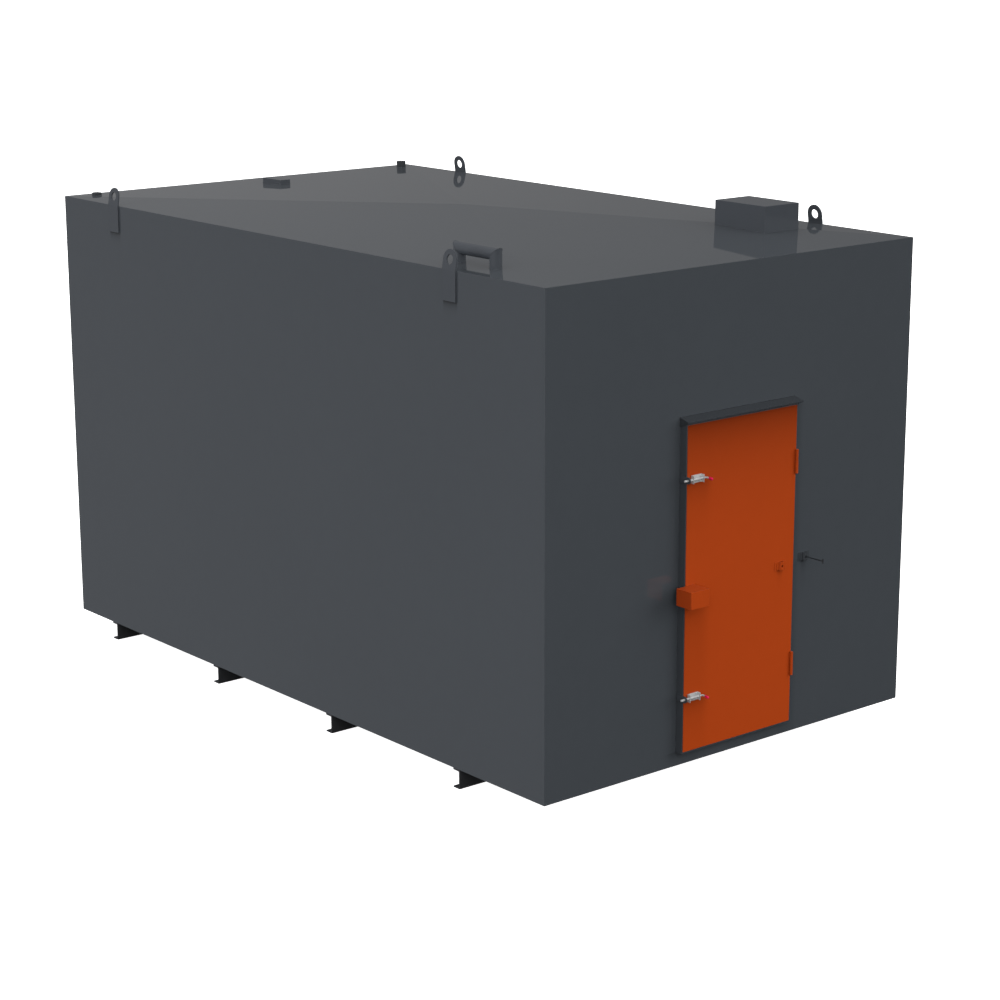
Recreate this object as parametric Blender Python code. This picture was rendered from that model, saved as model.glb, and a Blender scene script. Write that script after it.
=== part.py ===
"""Rectangular steel storage tank on cross bearers, with a bolted access door in one end.

Metres, +Z up. The door end faces -Y, +X is to the right seen from that end, and the ground is z = 0.
A length named "left" is taken from the outer face of the left side wall, "front" from the outer face
of the door wall (outwards is negative), and "base" from the underside of the floor plate. The roof
rises from its four edges to a point over the middle, so that rain runs off.
"""

import math

import bmesh
import bpy
from mathutils import Matrix, Vector

# Tank body
TANK_WIDTH = 2.45
TANK_LENGTH = 4.20
TANK_HEIGHT = 2.45
ROOF_RISE = 0.060  # of the roof's middle over its edges
WALL_PLATE = 0.005
FLOOR_PLATE = 0.006
SEAM = 0.0003  # gap between pieces that touch

# Cross bearers, rolled channels with their flanges to the rear
BEARER_HEIGHT = 0.100
BEARER_FLANGE = 0.050
BEARER_WEB_PLATE = 0.006
BEARER_FLANGE_PLATE = 0.0085
BEARER_FIRST_FRONT = 0.633
BEARER_SPACING = 1.0603
BEARER_NAMES = ("bearer_front", "bearer_front_middle", "bearer_rear_middle", "bearer_rear")

# Lifting lugs on the outer faces of the side walls, bent inwards from the roof's edge up
LUG_HALF_WIDTH = 0.0493
LUG_DROP = 0.1473
LUG_RISE = 0.0971
LUG_BEND = math.radians(8.5)
LUG_PLATE = 0.008
LUG_EYE_RADIUS = 0.024
LUG_FRONTS = {"front": 0.6805, "rear": 3.6625}

# Door frame, a folded cap profile round the doorway, open towards the wall
FRAME_LEFT = 0.8425
FRAME_RIGHT = 1.5940
FRAME_BASE = 0.072
FRAME_TOP = 1.719
FRAME_BAR = 0.040
FRAME_SHEET = 0.004
FRAME_FACE = 0.0467

# Door leaf, a flat sheet over the frame with a folded tray of ribs behind it
LEAF_LEFT = 0.8456
LEAF_RIGHT = 1.5838
LEAF_BASE = 0.083
LEAF_TOP = 1.7115
LEAF_SHEET = 0.003
LEAF_FACE = FRAME_FACE + SEAM + LEAF_SHEET
TRAY_DEPTH = 0.025
TRAY_CLEARANCE = 0.015
TRAY_CROSS_RIBS = (0.645, 1.150)

# Rain hood over the door
HOOD_LEFT = 0.8375
HOOD_RIGHT = 1.6175
HOOD_REACH = 0.060
HOOD_WALL_TOP = 1.745
HOOD_LIP_TOP = 1.729
HOOD_LIP_FOOT = 1.7225
HOOD_CHEEK_FOOT = 1.6975
HOOD_SHEET = 0.003

# Lift-off hinges: plain barrels on the leaf's face, at its right edge
HINGE_RADIUS = 0.008
HINGE_LENGTH = 0.122
HINGE_BASES = {"upper": 1.3685, "lower": 0.327}
HINGE_PIN_RADIUS = 0.004
HINGE_PIN_LENGTH = 0.040
HINGE_PIN_CLEARANCE = 0.0003
HINGE_LEFT = LEAF_RIGHT - 0.0022
HINGE_FRONT = -(LEAF_FACE + SEAM + HINGE_RADIUS)
HINGE_TAB_LEFT = 1.5860

# Lock box: a shroud over the lock, open below and behind
LOCK_BOX_LEFT = 0.7856
LOCK_BOX_RIGHT = 0.9045
LOCK_BOX_DEPTH = 0.1032
LOCK_BOX_BASE = 0.8402
LOCK_BOX_TOP = 0.9253
LOCK_BOX_SHEET = 0.003

# Slide bolts on the leaf's left edge: a folded bracket and a round bar with a bent handle
BOLT_BASES = {"upper": 1.4475, "lower": 0.357}
BOLT_BRACKET_LEFT = 0.868
BOLT_BRACKET_RIGHT = 0.938
BOLT_BRACKET_HALF_HEIGHT = 0.0195
BOLT_BRACKET_DEPTH = 0.021
BOLT_BRACKET_SHEET = 0.003
BOLT_REACH = 0.0125
BOLT_LEFT = 0.815
BOLT_RADIUS = 0.0055
BOLT_CHAMFER = 0.001
BOLT_BORE_CLEARANCE = 0.0003
COLLAR_RADIUS = 0.0075
COLLAR_LENGTH = 0.0245
HANDLE_RADIUS = 0.0045
HANDLE_BEND_RADIUS = 0.010
HANDLE_BEND_LEFT = 0.958
HANDLE_LEAN = math.radians(11)
HANDLE_LENGTH = 0.013
GRIP_RADIUS = 0.007
GRIP_LENGTH = 0.027
GRIP_ROUNDING = 0.0042
GRIP_CHAMFER = 0.0014

# Catch plates on the frame's left side: the bolts' ends pass through them
CATCH_PLATE = 0.005
CATCH_ROOT_REACH = 0.010
CATCH_HALF_HEIGHT = 0.017
CATCH_HOLE_CLEARANCE = 0.001

# Door retainer: a round-crowned hat bracket with a T-headed rod on the wall, and its keeper on the leaf
HAT_HALF_WIDTH = 0.039
HAT_BASE_PLATE = 0.002
HAT_HALF_FLANGE = 0.0265
HAT_FLANGE_DEPTH = 0.005
HAT_CROWN_RADIUS = 0.0137
HAT_DEPTH = HAT_FLANGE_DEPTH + HAT_CROWN_RADIUS
HAT_HALF_HEIGHT = 0.021
HAT_SHEET = 0.003
HAT_HOLE_RADIUS = 0.006
RETAINER_BASE = 0.912
RETAINER_LEFT = 1.709
KEEPER_LEFT = 1.490
ROD_RADIUS = 0.003
ROD_REACH = 0.1345
ROD_HEAD_RADIUS = 0.0035
ROD_HEAD_HALF = 0.012

# Roof fittings, with their tops measured from the roof's edges
VENT_BOX_LEFT, VENT_BOX_FRONT = 1.896, 0.506
VENT_BOX_WIDTH, VENT_BOX_LENGTH, VENT_BOX_RISE = 0.2457, 0.3606, 0.1502
LOW_BOX_LEFT, LOW_BOX_FRONT = 1.1732, 3.7474
LOW_BOX_WIDTH, LOW_BOX_LENGTH, LOW_BOX_RISE = 0.0694, 0.1814, 0.039
ROOF_BOX_SHEET = 0.003
PLUG_LEFT, PLUG_FRONT = 0.1377, 4.0756
PLUG_RADIUS, PLUG_RISE = 0.0275, 0.0135
STUB_LEFT, STUB_FRONT = 2.3008, 4.0582
STUB_RADIUS, STUB_RISE = 0.028, 0.037
PLUG_CHAMFER = 0.002
PIPE_LEFT = 0.1577
PIPE_LEG_FRONTS = (0.5366, 0.8051)
PIPE_RADIUS = 0.0302
PIPE_WALL = 0.0036
PIPE_AXIS_RISE = 0.0744

# How finely round shapes are drawn, and how far a cutter reaches past what it cuts
ROUND_SIDES = 32
BENT_SIDES = 20
ROD_SIDES = 12
HALF_TURN_STEPS = 20
BEND_STEPS = 8
ROUNDING_STEPS = 5
SMOOTH_BELOW = math.radians(30)
PAST = 0.010

# The overall box is centred on the origin, and the lock box reaches furthest to the front
FRONT_REACH = LEAF_FACE + SEAM + LOCK_BOX_DEPTH
FRONT_Y = (FRONT_REACH - TANK_LENGTH) / 2

PAINT = {}


def at(left, front, base):
    """A point of the tank in world coordinates."""
    return Vector((left - TANK_WIDTH / 2, FRONT_Y + front, BEARER_HEIGHT + base))


def make_material(name, colour, roughness, metallic):
    material = bpy.data.materials.new(name)
    material.use_nodes = True
    shader = material.node_tree.nodes["Principled BSDF"]
    shader.inputs["Base Color"].default_value = (*colour, 1.0)
    shader.inputs["Roughness"].default_value = roughness
    shader.inputs["Metallic"].default_value = metallic
    PAINT[name] = material


def world_place(obj):
    """Where an unrotated object's origin is, counting the parents above it."""
    place = Vector((0, 0, 0))
    while obj:
        place += obj.location
        obj = obj.parent
    return place


def make_pivot(name, point, parent=None):
    """An empty on a joint's axis, which the moving pieces hang on."""
    pivot = bpy.data.objects.new(name, None)
    bpy.context.scene.collection.objects.link(pivot)
    pivot.parent = parent
    pivot.location = point - world_place(parent)
    return pivot


def make_object(name, bm, paint, pivot=None):
    """An object from a mesh drawn in world coordinates, with its origin at the pivot it hangs on."""
    origin = world_place(pivot)
    bmesh.ops.recalc_face_normals(bm, faces=bm.faces)
    bmesh.ops.translate(bm, vec=-origin, verts=bm.verts)
    mesh = bpy.data.meshes.new(name)
    bm.to_mesh(mesh)
    bm.free()
    mesh.materials.append(PAINT[paint])
    mesh.shade_smooth()
    mesh.set_sharp_from_angle(angle=SMOOTH_BELOW)
    obj = bpy.data.objects.new(name, mesh)
    bpy.context.scene.collection.objects.link(obj)
    obj.parent = pivot
    return obj


def combine(obj, bm, operation):
    """Adds a Boolean with a hidden helper made from the mesh, drawn in world coordinates."""
    helper = make_object(f"{obj.name}_{operation.lower()}", bm, obj.data.materials[0].name)
    helper.hide_render = True
    helper.display_type = "WIRE"
    modifier = obj.modifiers.new(operation.title(), "BOOLEAN")
    modifier.operation = operation
    modifier.solver = "EXACT"
    modifier.object = helper


def box(low, high):
    bm = bmesh.new()
    size = high - low
    placing = Matrix.Translation((low + high) / 2) @ Matrix.Diagonal((*size, 1.0))
    bmesh.ops.create_cube(bm, size=1.0, matrix=placing)
    return bm


def prism(outline, sweep):
    """A flat outline of world points, drawn out along a vector."""
    bm = bmesh.new()
    face = bm.faces.new([bm.verts.new(point) for point in outline])
    grown = bmesh.ops.extrude_face_region(bm, geom=[face])["geom"]
    moved = [item for item in grown if isinstance(item, bmesh.types.BMVert)]
    bmesh.ops.translate(bm, vec=sweep, verts=moved)
    return bm


def turned(profile, placing, sides=ROUND_SIDES):
    """A profile of (radius, height) points, from the axis at the foot to the axis at the top, turned."""
    bm = bmesh.new()
    rings = []
    for radius, height in profile:
        count = sides if radius > 0 else 1
        angles = [2 * math.pi * i / sides for i in range(count)]
        points = [(radius * math.cos(a), radius * math.sin(a), height) for a in angles]
        rings.append([bm.verts.new(placing @ Vector(point)) for point in points])
    for lower, upper in zip(rings, rings[1:]):
        for i in range(sides):
            j = (i + 1) % sides
            corners = [lower[i % len(lower)], lower[j % len(lower)]]
            corners += [upper[j % len(upper)], upper[i % len(upper)]]
            bm.faces.new(list(dict.fromkeys(corners)))
    return bm


def rod(start, end, radius, sides=ROD_SIDES):
    """A round bar between two world points."""
    along = end - start
    turn = Vector((0, 0, 1)).rotation_difference(along).to_matrix().to_4x4()
    profile = [(0, 0), (radius, 0), (radius, along.length), (0, along.length)]
    return turned(profile, Matrix.Translation(start) @ turn, sides)


def arc(centre, radius, start, end, steps):
    """Points of an arc in a plane, as pairs, from one angle to the other, both in degrees."""
    angles = [math.radians(start + (end - start) * i / steps) for i in range(steps + 1)]
    return [(centre[0] + radius * math.cos(a), centre[1] + radius * math.sin(a)) for a in angles]


def swept_frame(profile, left, right, base, top):
    """A closed profile of (inset, outward) points carried round an upright rectangle, mitred."""
    bm = bmesh.new()
    corners = []
    for edge_left, side in ((left, 1), (right, -1)):
        for edge_base, rise in ((base, 1), (top, -1)):
            points = [at(edge_left + side * u, -d, edge_base + rise * u) for u, d in profile]
            corners.append([bm.verts.new(point) for point in points])
    lower_left, upper_left, lower_right, upper_right = corners
    loop = [lower_left, upper_left, upper_right, lower_right]
    for here, following in zip(loop, loop[1:] + loop[:1]):
        for i in range(len(profile)):
            j = (i + 1) % len(profile)
            bm.faces.new([here[i], here[j], following[j], following[i]])
    return bm


def mitred_tube(start, end, start_cut, end_cut, radius, wall):
    """A tube whose ends are cut by planes through its end points, with the given normals."""
    bm = bmesh.new()
    along = (end - start).normalized()
    side = Vector((1, 0, 0))
    up = along.cross(side)
    rings = []
    for size in (radius, radius - wall):
        for point, cut in ((start, start_cut), (end, end_cut)):
            ring = []
            for i in range(ROUND_SIDES):
                a = 2 * math.pi * i / ROUND_SIDES
                offset = size * (math.cos(a) * side + math.sin(a) * up)
                slide = -offset.dot(cut) / along.dot(cut)
                ring.append(bm.verts.new(point + offset + slide * along))
            rings.append(ring)
    outer_start, outer_end, inner_start, inner_end = rings
    loop = [outer_start, outer_end, inner_end, inner_start]
    for here, following in zip(loop, loop[1:] + loop[:1]):
        for i in range(ROUND_SIDES):
            j = (i + 1) % ROUND_SIDES
            bm.faces.new([here[i], here[j], following[j], following[i]])
    return bm


def bent_rod(stations, sides=BENT_SIDES):
    """A round bar through stations of (centre, direction, radius), closed at both ends."""
    bm = bmesh.new()
    rings = []
    for centre, direction, radius in stations:
        across = direction.cross(Vector((0, 0, 1)))
        above = across.cross(direction)
        angles = [2 * math.pi * i / sides for i in range(sides)]
        spokes = [math.cos(a) * across + math.sin(a) * above for a in angles]
        rings.append([bm.verts.new(centre + radius * spoke) for spoke in spokes])
    bm.faces.new(rings[0])
    bm.faces.new(rings[-1])
    for here, following in zip(rings, rings[1:]):
        for i in range(sides):
            j = (i + 1) % sides
            bm.faces.new([here[i], here[j], following[j], following[i]])
    return bm


def clear_scene():
    for obj in list(bpy.data.objects):
        bpy.data.objects.remove(obj, do_unlink=True)


def make_paints():
    make_material("anthracite_paint", (0.050, 0.056, 0.062), 0.32, 0.0)
    make_material("orange_paint", (0.480, 0.085, 0.010), 0.36, 0.0)
    make_material("zinc_plate", (0.600, 0.610, 0.610), 0.38, 0.9)
    make_material("crimson_grip", (0.680, 0.002, 0.060), 0.45, 0.0)


def hipped(lift, foot, foot_rise=0.0):
    """A solid under the roof's surface raised by a lift, down to a foot that may rise to a point."""
    bm = bmesh.new()
    plan = ((0, 0), (TANK_WIDTH, 0), (TANK_WIDTH, TANK_LENGTH), (0, TANK_LENGTH))
    levels = []
    for edge, rise in ((TANK_HEIGHT + lift, ROOF_RISE), (foot, foot_rise)):
        rim = [bm.verts.new(at(left, front, edge)) for left, front in plan]
        peak = bm.verts.new(at(TANK_WIDTH / 2, TANK_LENGTH / 2, edge + rise))
        levels.append(rim)
        for i in range(4):
            bm.faces.new([rim[i], rim[(i + 1) % 4], peak])
    upper, lower = levels
    for i in range(4):
        j = (i + 1) % 4
        bm.faces.new([lower[i], lower[j], upper[j], upper[i]])
    return bm


def make_shell():
    """Floor, roof and walls as separate plates, with the door end's wall split round the doorway."""
    floor_top = FLOOR_PLATE
    roof_underside = TANK_HEIGHT - WALL_PLATE
    make_object("floor_plate", box(at(0, 0, 0), at(TANK_WIDTH, TANK_LENGTH, floor_top)), "anthracite_paint")
    make_object("roof_plate", hipped(0, roof_underside, ROOF_RISE), "anthracite_paint")

    foot = floor_top + SEAM
    head = roof_underside - SEAM
    inner_left = WALL_PLATE + SEAM
    inner_right = TANK_WIDTH - inner_left
    doorway_left = FRAME_LEFT + FRAME_BAR
    doorway_right = FRAME_RIGHT - FRAME_BAR
    doorway_base = FRAME_BASE + FRAME_BAR
    doorway_top = FRAME_TOP - FRAME_BAR
    rear = TANK_LENGTH - WALL_PLATE
    plates = {
        "side_wall_left": ((0, 0, foot), (WALL_PLATE, TANK_LENGTH, head)),
        "side_wall_right": ((TANK_WIDTH - WALL_PLATE, 0, foot), (TANK_WIDTH, TANK_LENGTH, head)),
        "rear_wall": ((inner_left, rear, foot), (inner_right, TANK_LENGTH, head)),
        "front_wall_left": ((inner_left, 0, foot), (doorway_left, WALL_PLATE, head)),
        "front_wall_right": ((doorway_right, 0, foot), (inner_right, WALL_PLATE, head)),
        "front_wall_over_door": (
            (doorway_left + SEAM, 0, doorway_top),
            (doorway_right - SEAM, WALL_PLATE, head),
        ),
        "front_wall_under_door": (
            (doorway_left + SEAM, 0, foot),
            (doorway_right - SEAM, WALL_PLATE, doorway_base),
        ),
    }
    for name, (low, high) in plates.items():
        make_object(name, box(at(*low), at(*high)), "anthracite_paint")


def make_bearers():
    """Four channels across the tank, flush with its side walls."""
    top = BEARER_HEIGHT - SEAM
    inner_top = top - BEARER_FLANGE_PLATE
    section = (
        (0, 0),
        (BEARER_FLANGE, 0),
        (BEARER_FLANGE, BEARER_FLANGE_PLATE),
        (BEARER_WEB_PLATE, BEARER_FLANGE_PLATE),
        (BEARER_WEB_PLATE, inner_top),
        (BEARER_FLANGE, inner_top),
        (BEARER_FLANGE, top),
        (0, top),
    )
    for i, name in enumerate(BEARER_NAMES):
        front = BEARER_FIRST_FRONT + i * BEARER_SPACING
        outline = [at(0, front + run, rise - BEARER_HEIGHT) for run, rise in section]
        make_object(name, prism(outline, Vector((TANK_WIDTH, 0, 0))), "anthracite_paint")


def lug_point(run, rise, depth, inward):
    """A point of a lug seen from its bend: along the wall, up the plate, and out from its inner face."""
    sine, cosine = math.sin(LUG_BEND), math.cos(LUG_BEND)
    if rise > 0:
        return Vector((inward * (rise * sine - depth * cosine), run, rise * cosine + depth * sine))
    mitre = depth * math.tan(LUG_BEND / 2) if rise == 0 else 0
    return Vector((-inward * depth, run, rise + mitre))


def make_lug(name, bend, inward):
    """A plate with a round top and an eye, bent along a line through the given point."""
    eye_rise = LUG_RISE - LUG_HALF_WIDTH
    round_top = arc((0, eye_rise), LUG_HALF_WIDTH, 0, 180, HALF_TURN_STEPS)
    lower = [(-LUG_HALF_WIDTH, -LUG_DROP), (LUG_HALF_WIDTH, -LUG_DROP)]
    loop = lower + [(LUG_HALF_WIDTH, 0)] + round_top + [(-LUG_HALF_WIDTH, 0)]
    bm = bmesh.new()
    layers = []
    for depth in (0, LUG_PLATE):
        layer = [bm.verts.new(bend + lug_point(run, rise, depth, inward)) for run, rise in loop]
        bm.faces.new(layer[:3] + layer[-1:])
        bm.faces.new(layer[2:])
        layers.append(layer)
    inner, outer = layers
    for i in range(len(loop)):
        j = (i + 1) % len(loop)
        bm.faces.new([inner[i], inner[j], outer[j], outer[i]])
    lug = make_object(name, bm, "anthracite_paint")

    start = bend + lug_point(0, eye_rise, -PAST, inward)
    end = bend + lug_point(0, eye_rise, LUG_PLATE + PAST, inward)
    combine(lug, rod(start, end, LUG_EYE_RADIUS, ROUND_SIDES), "DIFFERENCE")


def make_lifting_lugs():
    """Two lugs on each side wall."""
    for place, front in LUG_FRONTS.items():
        make_lug(f"lifting_lug_{place}_left", at(-SEAM, front, TANK_HEIGHT), 1)
        make_lug(f"lifting_lug_{place}_right", at(TANK_WIDTH + SEAM, front, TANK_HEIGHT), -1)


def make_door_frame():
    """The folded frame round the doorway, the rain hood over it and the bolts' catch plates."""
    profile = (
        (0, SEAM),
        (0, FRAME_FACE),
        (FRAME_BAR, FRAME_FACE),
        (FRAME_BAR, SEAM),
        (FRAME_BAR - FRAME_SHEET, SEAM),
        (FRAME_BAR - FRAME_SHEET, FRAME_FACE - FRAME_SHEET),
        (FRAME_SHEET, FRAME_FACE - FRAME_SHEET),
        (FRAME_SHEET, SEAM),
    )
    frame = swept_frame(profile, FRAME_LEFT, FRAME_RIGHT, FRAME_BASE, FRAME_TOP)
    make_object("door_frame", frame, "anthracite_paint")

    outer = (
        (-SEAM, HOOD_WALL_TOP),
        (-HOOD_REACH, HOOD_LIP_TOP),
        (-HOOD_REACH, HOOD_LIP_FOOT),
        (-SEAM, HOOD_CHEEK_FOOT),
    )
    width = HOOD_RIGHT - HOOD_LEFT
    hood = prism([at(HOOD_LEFT, run, rise) for run, rise in outer], Vector((width, 0, 0)))
    hood = make_object("door_hood", hood, "anthracite_paint")
    slope = (HOOD_WALL_TOP - HOOD_LIP_TOP) / (HOOD_REACH - SEAM)
    inner = (
        (PAST, HOOD_WALL_TOP - HOOD_SHEET + slope * PAST),
        (-HOOD_REACH + HOOD_SHEET, HOOD_LIP_TOP - HOOD_SHEET + slope * HOOD_SHEET),
        (-HOOD_REACH + HOOD_SHEET, HOOD_CHEEK_FOOT - PAST),
        (PAST, HOOD_CHEEK_FOOT - PAST),
    )
    inner_left = HOOD_LEFT + HOOD_SHEET
    hollow = prism(
        [at(inner_left, run, rise) for run, rise in inner], Vector((width - 2 * HOOD_SHEET, 0, 0))
    )
    combine(hood, hollow, "DIFFERENCE")

    axis = LEAF_FACE + BOLT_REACH
    left = FRAME_LEFT - SEAM - CATCH_PLATE
    for place, base in BOLT_BASES.items():
        plate = [(-CATCH_ROOT_REACH, CATCH_HALF_HEIGHT), (-CATCH_ROOT_REACH, -CATCH_HALF_HEIGHT)]
        plate += arc((-axis, 0), CATCH_HALF_HEIGHT, 270, 90, HALF_TURN_STEPS)
        outline = [at(left, run, base + rise) for run, rise in plate]
        body = prism(outline, Vector((CATCH_PLATE, 0, 0)))
        catch = make_object(f"bolt_catch_{place}", body, "anthracite_paint")
        hole = rod(
            at(left - PAST, -axis, base),
            at(left + CATCH_PLATE + PAST, -axis, base),
            BOLT_RADIUS + CATCH_HOLE_CLEARANCE,
            ROUND_SIDES,
        )
        combine(catch, hole, "DIFFERENCE")


def make_door_leaf(door):
    """The orange sheet and, behind it, a folded tray with two cross ribs that fits inside the frame."""
    sheet_back = -(LEAF_FACE - LEAF_SHEET)
    tray_left = FRAME_LEFT + FRAME_BAR + TRAY_CLEARANCE
    tray_right = FRAME_RIGHT - FRAME_BAR - TRAY_CLEARANCE
    tray_base = FRAME_BASE + FRAME_BAR + TRAY_CLEARANCE
    tray_top = FRAME_TOP - FRAME_BAR - TRAY_CLEARANCE
    tray_back = sheet_back + TRAY_DEPTH

    leaf = make_object(
        "door_leaf",
        box(at(LEAF_LEFT, -LEAF_FACE, LEAF_BASE), at(LEAF_RIGHT, sheet_back, LEAF_TOP)),
        "orange_paint",
        door,
    )
    middle = (sheet_back - LEAF_FACE) / 2
    tray = box(at(tray_left, middle, tray_base), at(tray_right, tray_back, tray_top))
    combine(leaf, tray, "UNION")
    edges = [tray_base + LEAF_SHEET]
    for rib in TRAY_CROSS_RIBS:
        edges += [rib, rib + LEAF_SHEET]
    edges.append(tray_top - LEAF_SHEET)
    for low, high in zip(edges[::2], edges[1::2]):
        pocket = box(
            at(tray_left + LEAF_SHEET, sheet_back, low),
            at(tray_right - LEAF_SHEET, tray_back + PAST, high),
        )
        combine(leaf, pocket, "DIFFERENCE")


def make_hinges(door):
    """Two lift-off hinges: the lower half with its pin on the frame, the upper half on the leaf."""
    half = (HINGE_LENGTH - SEAM) / 2
    bore = HINGE_PIN_RADIUS + HINGE_PIN_CLEARANCE
    bore_depth = HINGE_PIN_LENGTH + HINGE_PIN_CLEARANCE
    for place, base in HINGE_BASES.items():
        foot = Matrix.Translation(at(HINGE_LEFT, HINGE_FRONT, base))
        fixed = [(0, 0), (HINGE_RADIUS, 0), (HINGE_RADIUS, half)]
        fixed += [(HINGE_PIN_RADIUS, half), (HINGE_PIN_RADIUS, half + HINGE_PIN_LENGTH)]
        fixed += [(0, half + HINGE_PIN_LENGTH)]
        lower = make_object(f"hinge_{place}_frame_half", turned(fixed, foot), "orange_paint")
        tab = box(
            at(HINGE_TAB_LEFT, HINGE_FRONT, base),
            at(FRAME_RIGHT - SEAM, -FRAME_FACE - SEAM, base + half),
        )
        combine(lower, tab, "UNION")

        foot = Matrix.Translation(at(HINGE_LEFT, HINGE_FRONT, base + half + SEAM))
        moving = [(0, bore_depth), (bore, bore_depth), (bore, 0)]
        moving += [(HINGE_RADIUS, 0), (HINGE_RADIUS, half), (0, half)]
        make_object(f"hinge_{place}_door_half", turned(moving, foot), "orange_paint", door)


def make_lock_box(door):
    """The shroud that covers the lock, hollow, open below and behind."""
    back = -(LEAF_FACE + SEAM)
    front = back - LOCK_BOX_DEPTH
    shroud = box(at(LOCK_BOX_LEFT, front, LOCK_BOX_BASE), at(LOCK_BOX_RIGHT, back, LOCK_BOX_TOP))
    shroud = make_object("lock_box", shroud, "orange_paint", door)
    hollow = box(
        at(LOCK_BOX_LEFT + LOCK_BOX_SHEET, front + LOCK_BOX_SHEET, LOCK_BOX_BASE - PAST),
        at(LOCK_BOX_RIGHT - LOCK_BOX_SHEET, back + PAST, LOCK_BOX_TOP - LOCK_BOX_SHEET),
    )
    combine(shroud, hollow, "DIFFERENCE")


def hat_bracket(name, left, face, paint, pivot=None):
    """A flanged bracket with a half-round crown on an upright face, and a hole through the crown."""
    right_half = [
        (HAT_CROWN_RADIUS - HAT_SHEET, 0),
        (HAT_HALF_WIDTH, 0),
        (HAT_HALF_WIDTH, HAT_BASE_PLATE),
        (HAT_HALF_FLANGE, HAT_BASE_PLATE),
        (HAT_HALF_FLANGE, HAT_FLANGE_DEPTH),
    ]
    left_half = [(-run, rise) for run, rise in reversed(right_half)]
    crown = arc((0, HAT_FLANGE_DEPTH), HAT_CROWN_RADIUS, 0, 180, HALF_TURN_STEPS)
    inside = arc((0, HAT_FLANGE_DEPTH), HAT_CROWN_RADIUS - HAT_SHEET, 180, 0, HALF_TURN_STEPS)
    foot = RETAINER_BASE - HAT_HALF_HEIGHT
    seat = face + SEAM
    section = right_half + crown + left_half + inside
    outline = [at(left + run, -(seat + rise), foot) for run, rise in section]
    bracket = make_object(name, prism(outline, Vector((0, 0, 2 * HAT_HALF_HEIGHT))), paint, pivot)
    hole = rod(
        at(left, -(seat + HAT_DEPTH + HAT_SHEET), RETAINER_BASE),
        at(left, -(seat + HAT_DEPTH - 2 * HAT_SHEET), RETAINER_BASE),
        HAT_HOLE_RADIUS,
        ROUND_SIDES,
    )
    combine(bracket, hole, "DIFFERENCE")


def make_retainer(door):
    """The wall bracket, its T-headed rod standing out through the hole, and the keeper on the leaf."""
    hat_bracket("retainer_bracket", RETAINER_LEFT, 0, "anthracite_paint")
    hat_bracket("retainer_keeper", KEEPER_LEFT, LEAF_FACE, "orange_paint", door)
    foot = at(RETAINER_LEFT, -SEAM, RETAINER_BASE)
    end = at(RETAINER_LEFT, -ROD_REACH, RETAINER_BASE)
    stem = make_object("retainer_rod", rod(foot, end, ROD_RADIUS), "anthracite_paint")
    head = rod(
        at(RETAINER_LEFT, -ROD_REACH, RETAINER_BASE - ROD_HEAD_HALF),
        at(RETAINER_LEFT, -ROD_REACH, RETAINER_BASE + ROD_HEAD_HALF),
        ROD_HEAD_RADIUS,
    )
    combine(stem, head, "UNION")


def make_bolt_bracket(place, base, door):
    """A folded channel on the leaf whose two ends stand out and guide the bolt."""
    length = BOLT_BRACKET_RIGHT - BOLT_BRACKET_LEFT
    depth, sheet, half = BOLT_BRACKET_DEPTH, BOLT_BRACKET_SHEET, BOLT_BRACKET_HALF_HEIGHT
    outer = [(0, depth), (0, 0), (length, 0), (length, depth)]
    inner = [(length - sheet, depth), (length - sheet, sheet), (sheet, sheet), (sheet, depth)]
    seat = LEAF_FACE + SEAM
    outline = [at(BOLT_BRACKET_LEFT + run, -(seat + rise), base - half) for run, rise in outer + inner]
    bracket = make_object(
        f"bolt_bracket_{place}", prism(outline, Vector((0, 0, 2 * half))), "zinc_plate", door
    )
    axis = LEAF_FACE + BOLT_REACH
    bore = rod(
        at(BOLT_BRACKET_LEFT - sheet, -axis, base),
        at(BOLT_BRACKET_RIGHT + sheet, -axis, base),
        BOLT_RADIUS + BOLT_BORE_CLEARANCE,
        ROUND_SIDES,
    )
    combine(bracket, bore, "DIFFERENCE")


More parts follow.
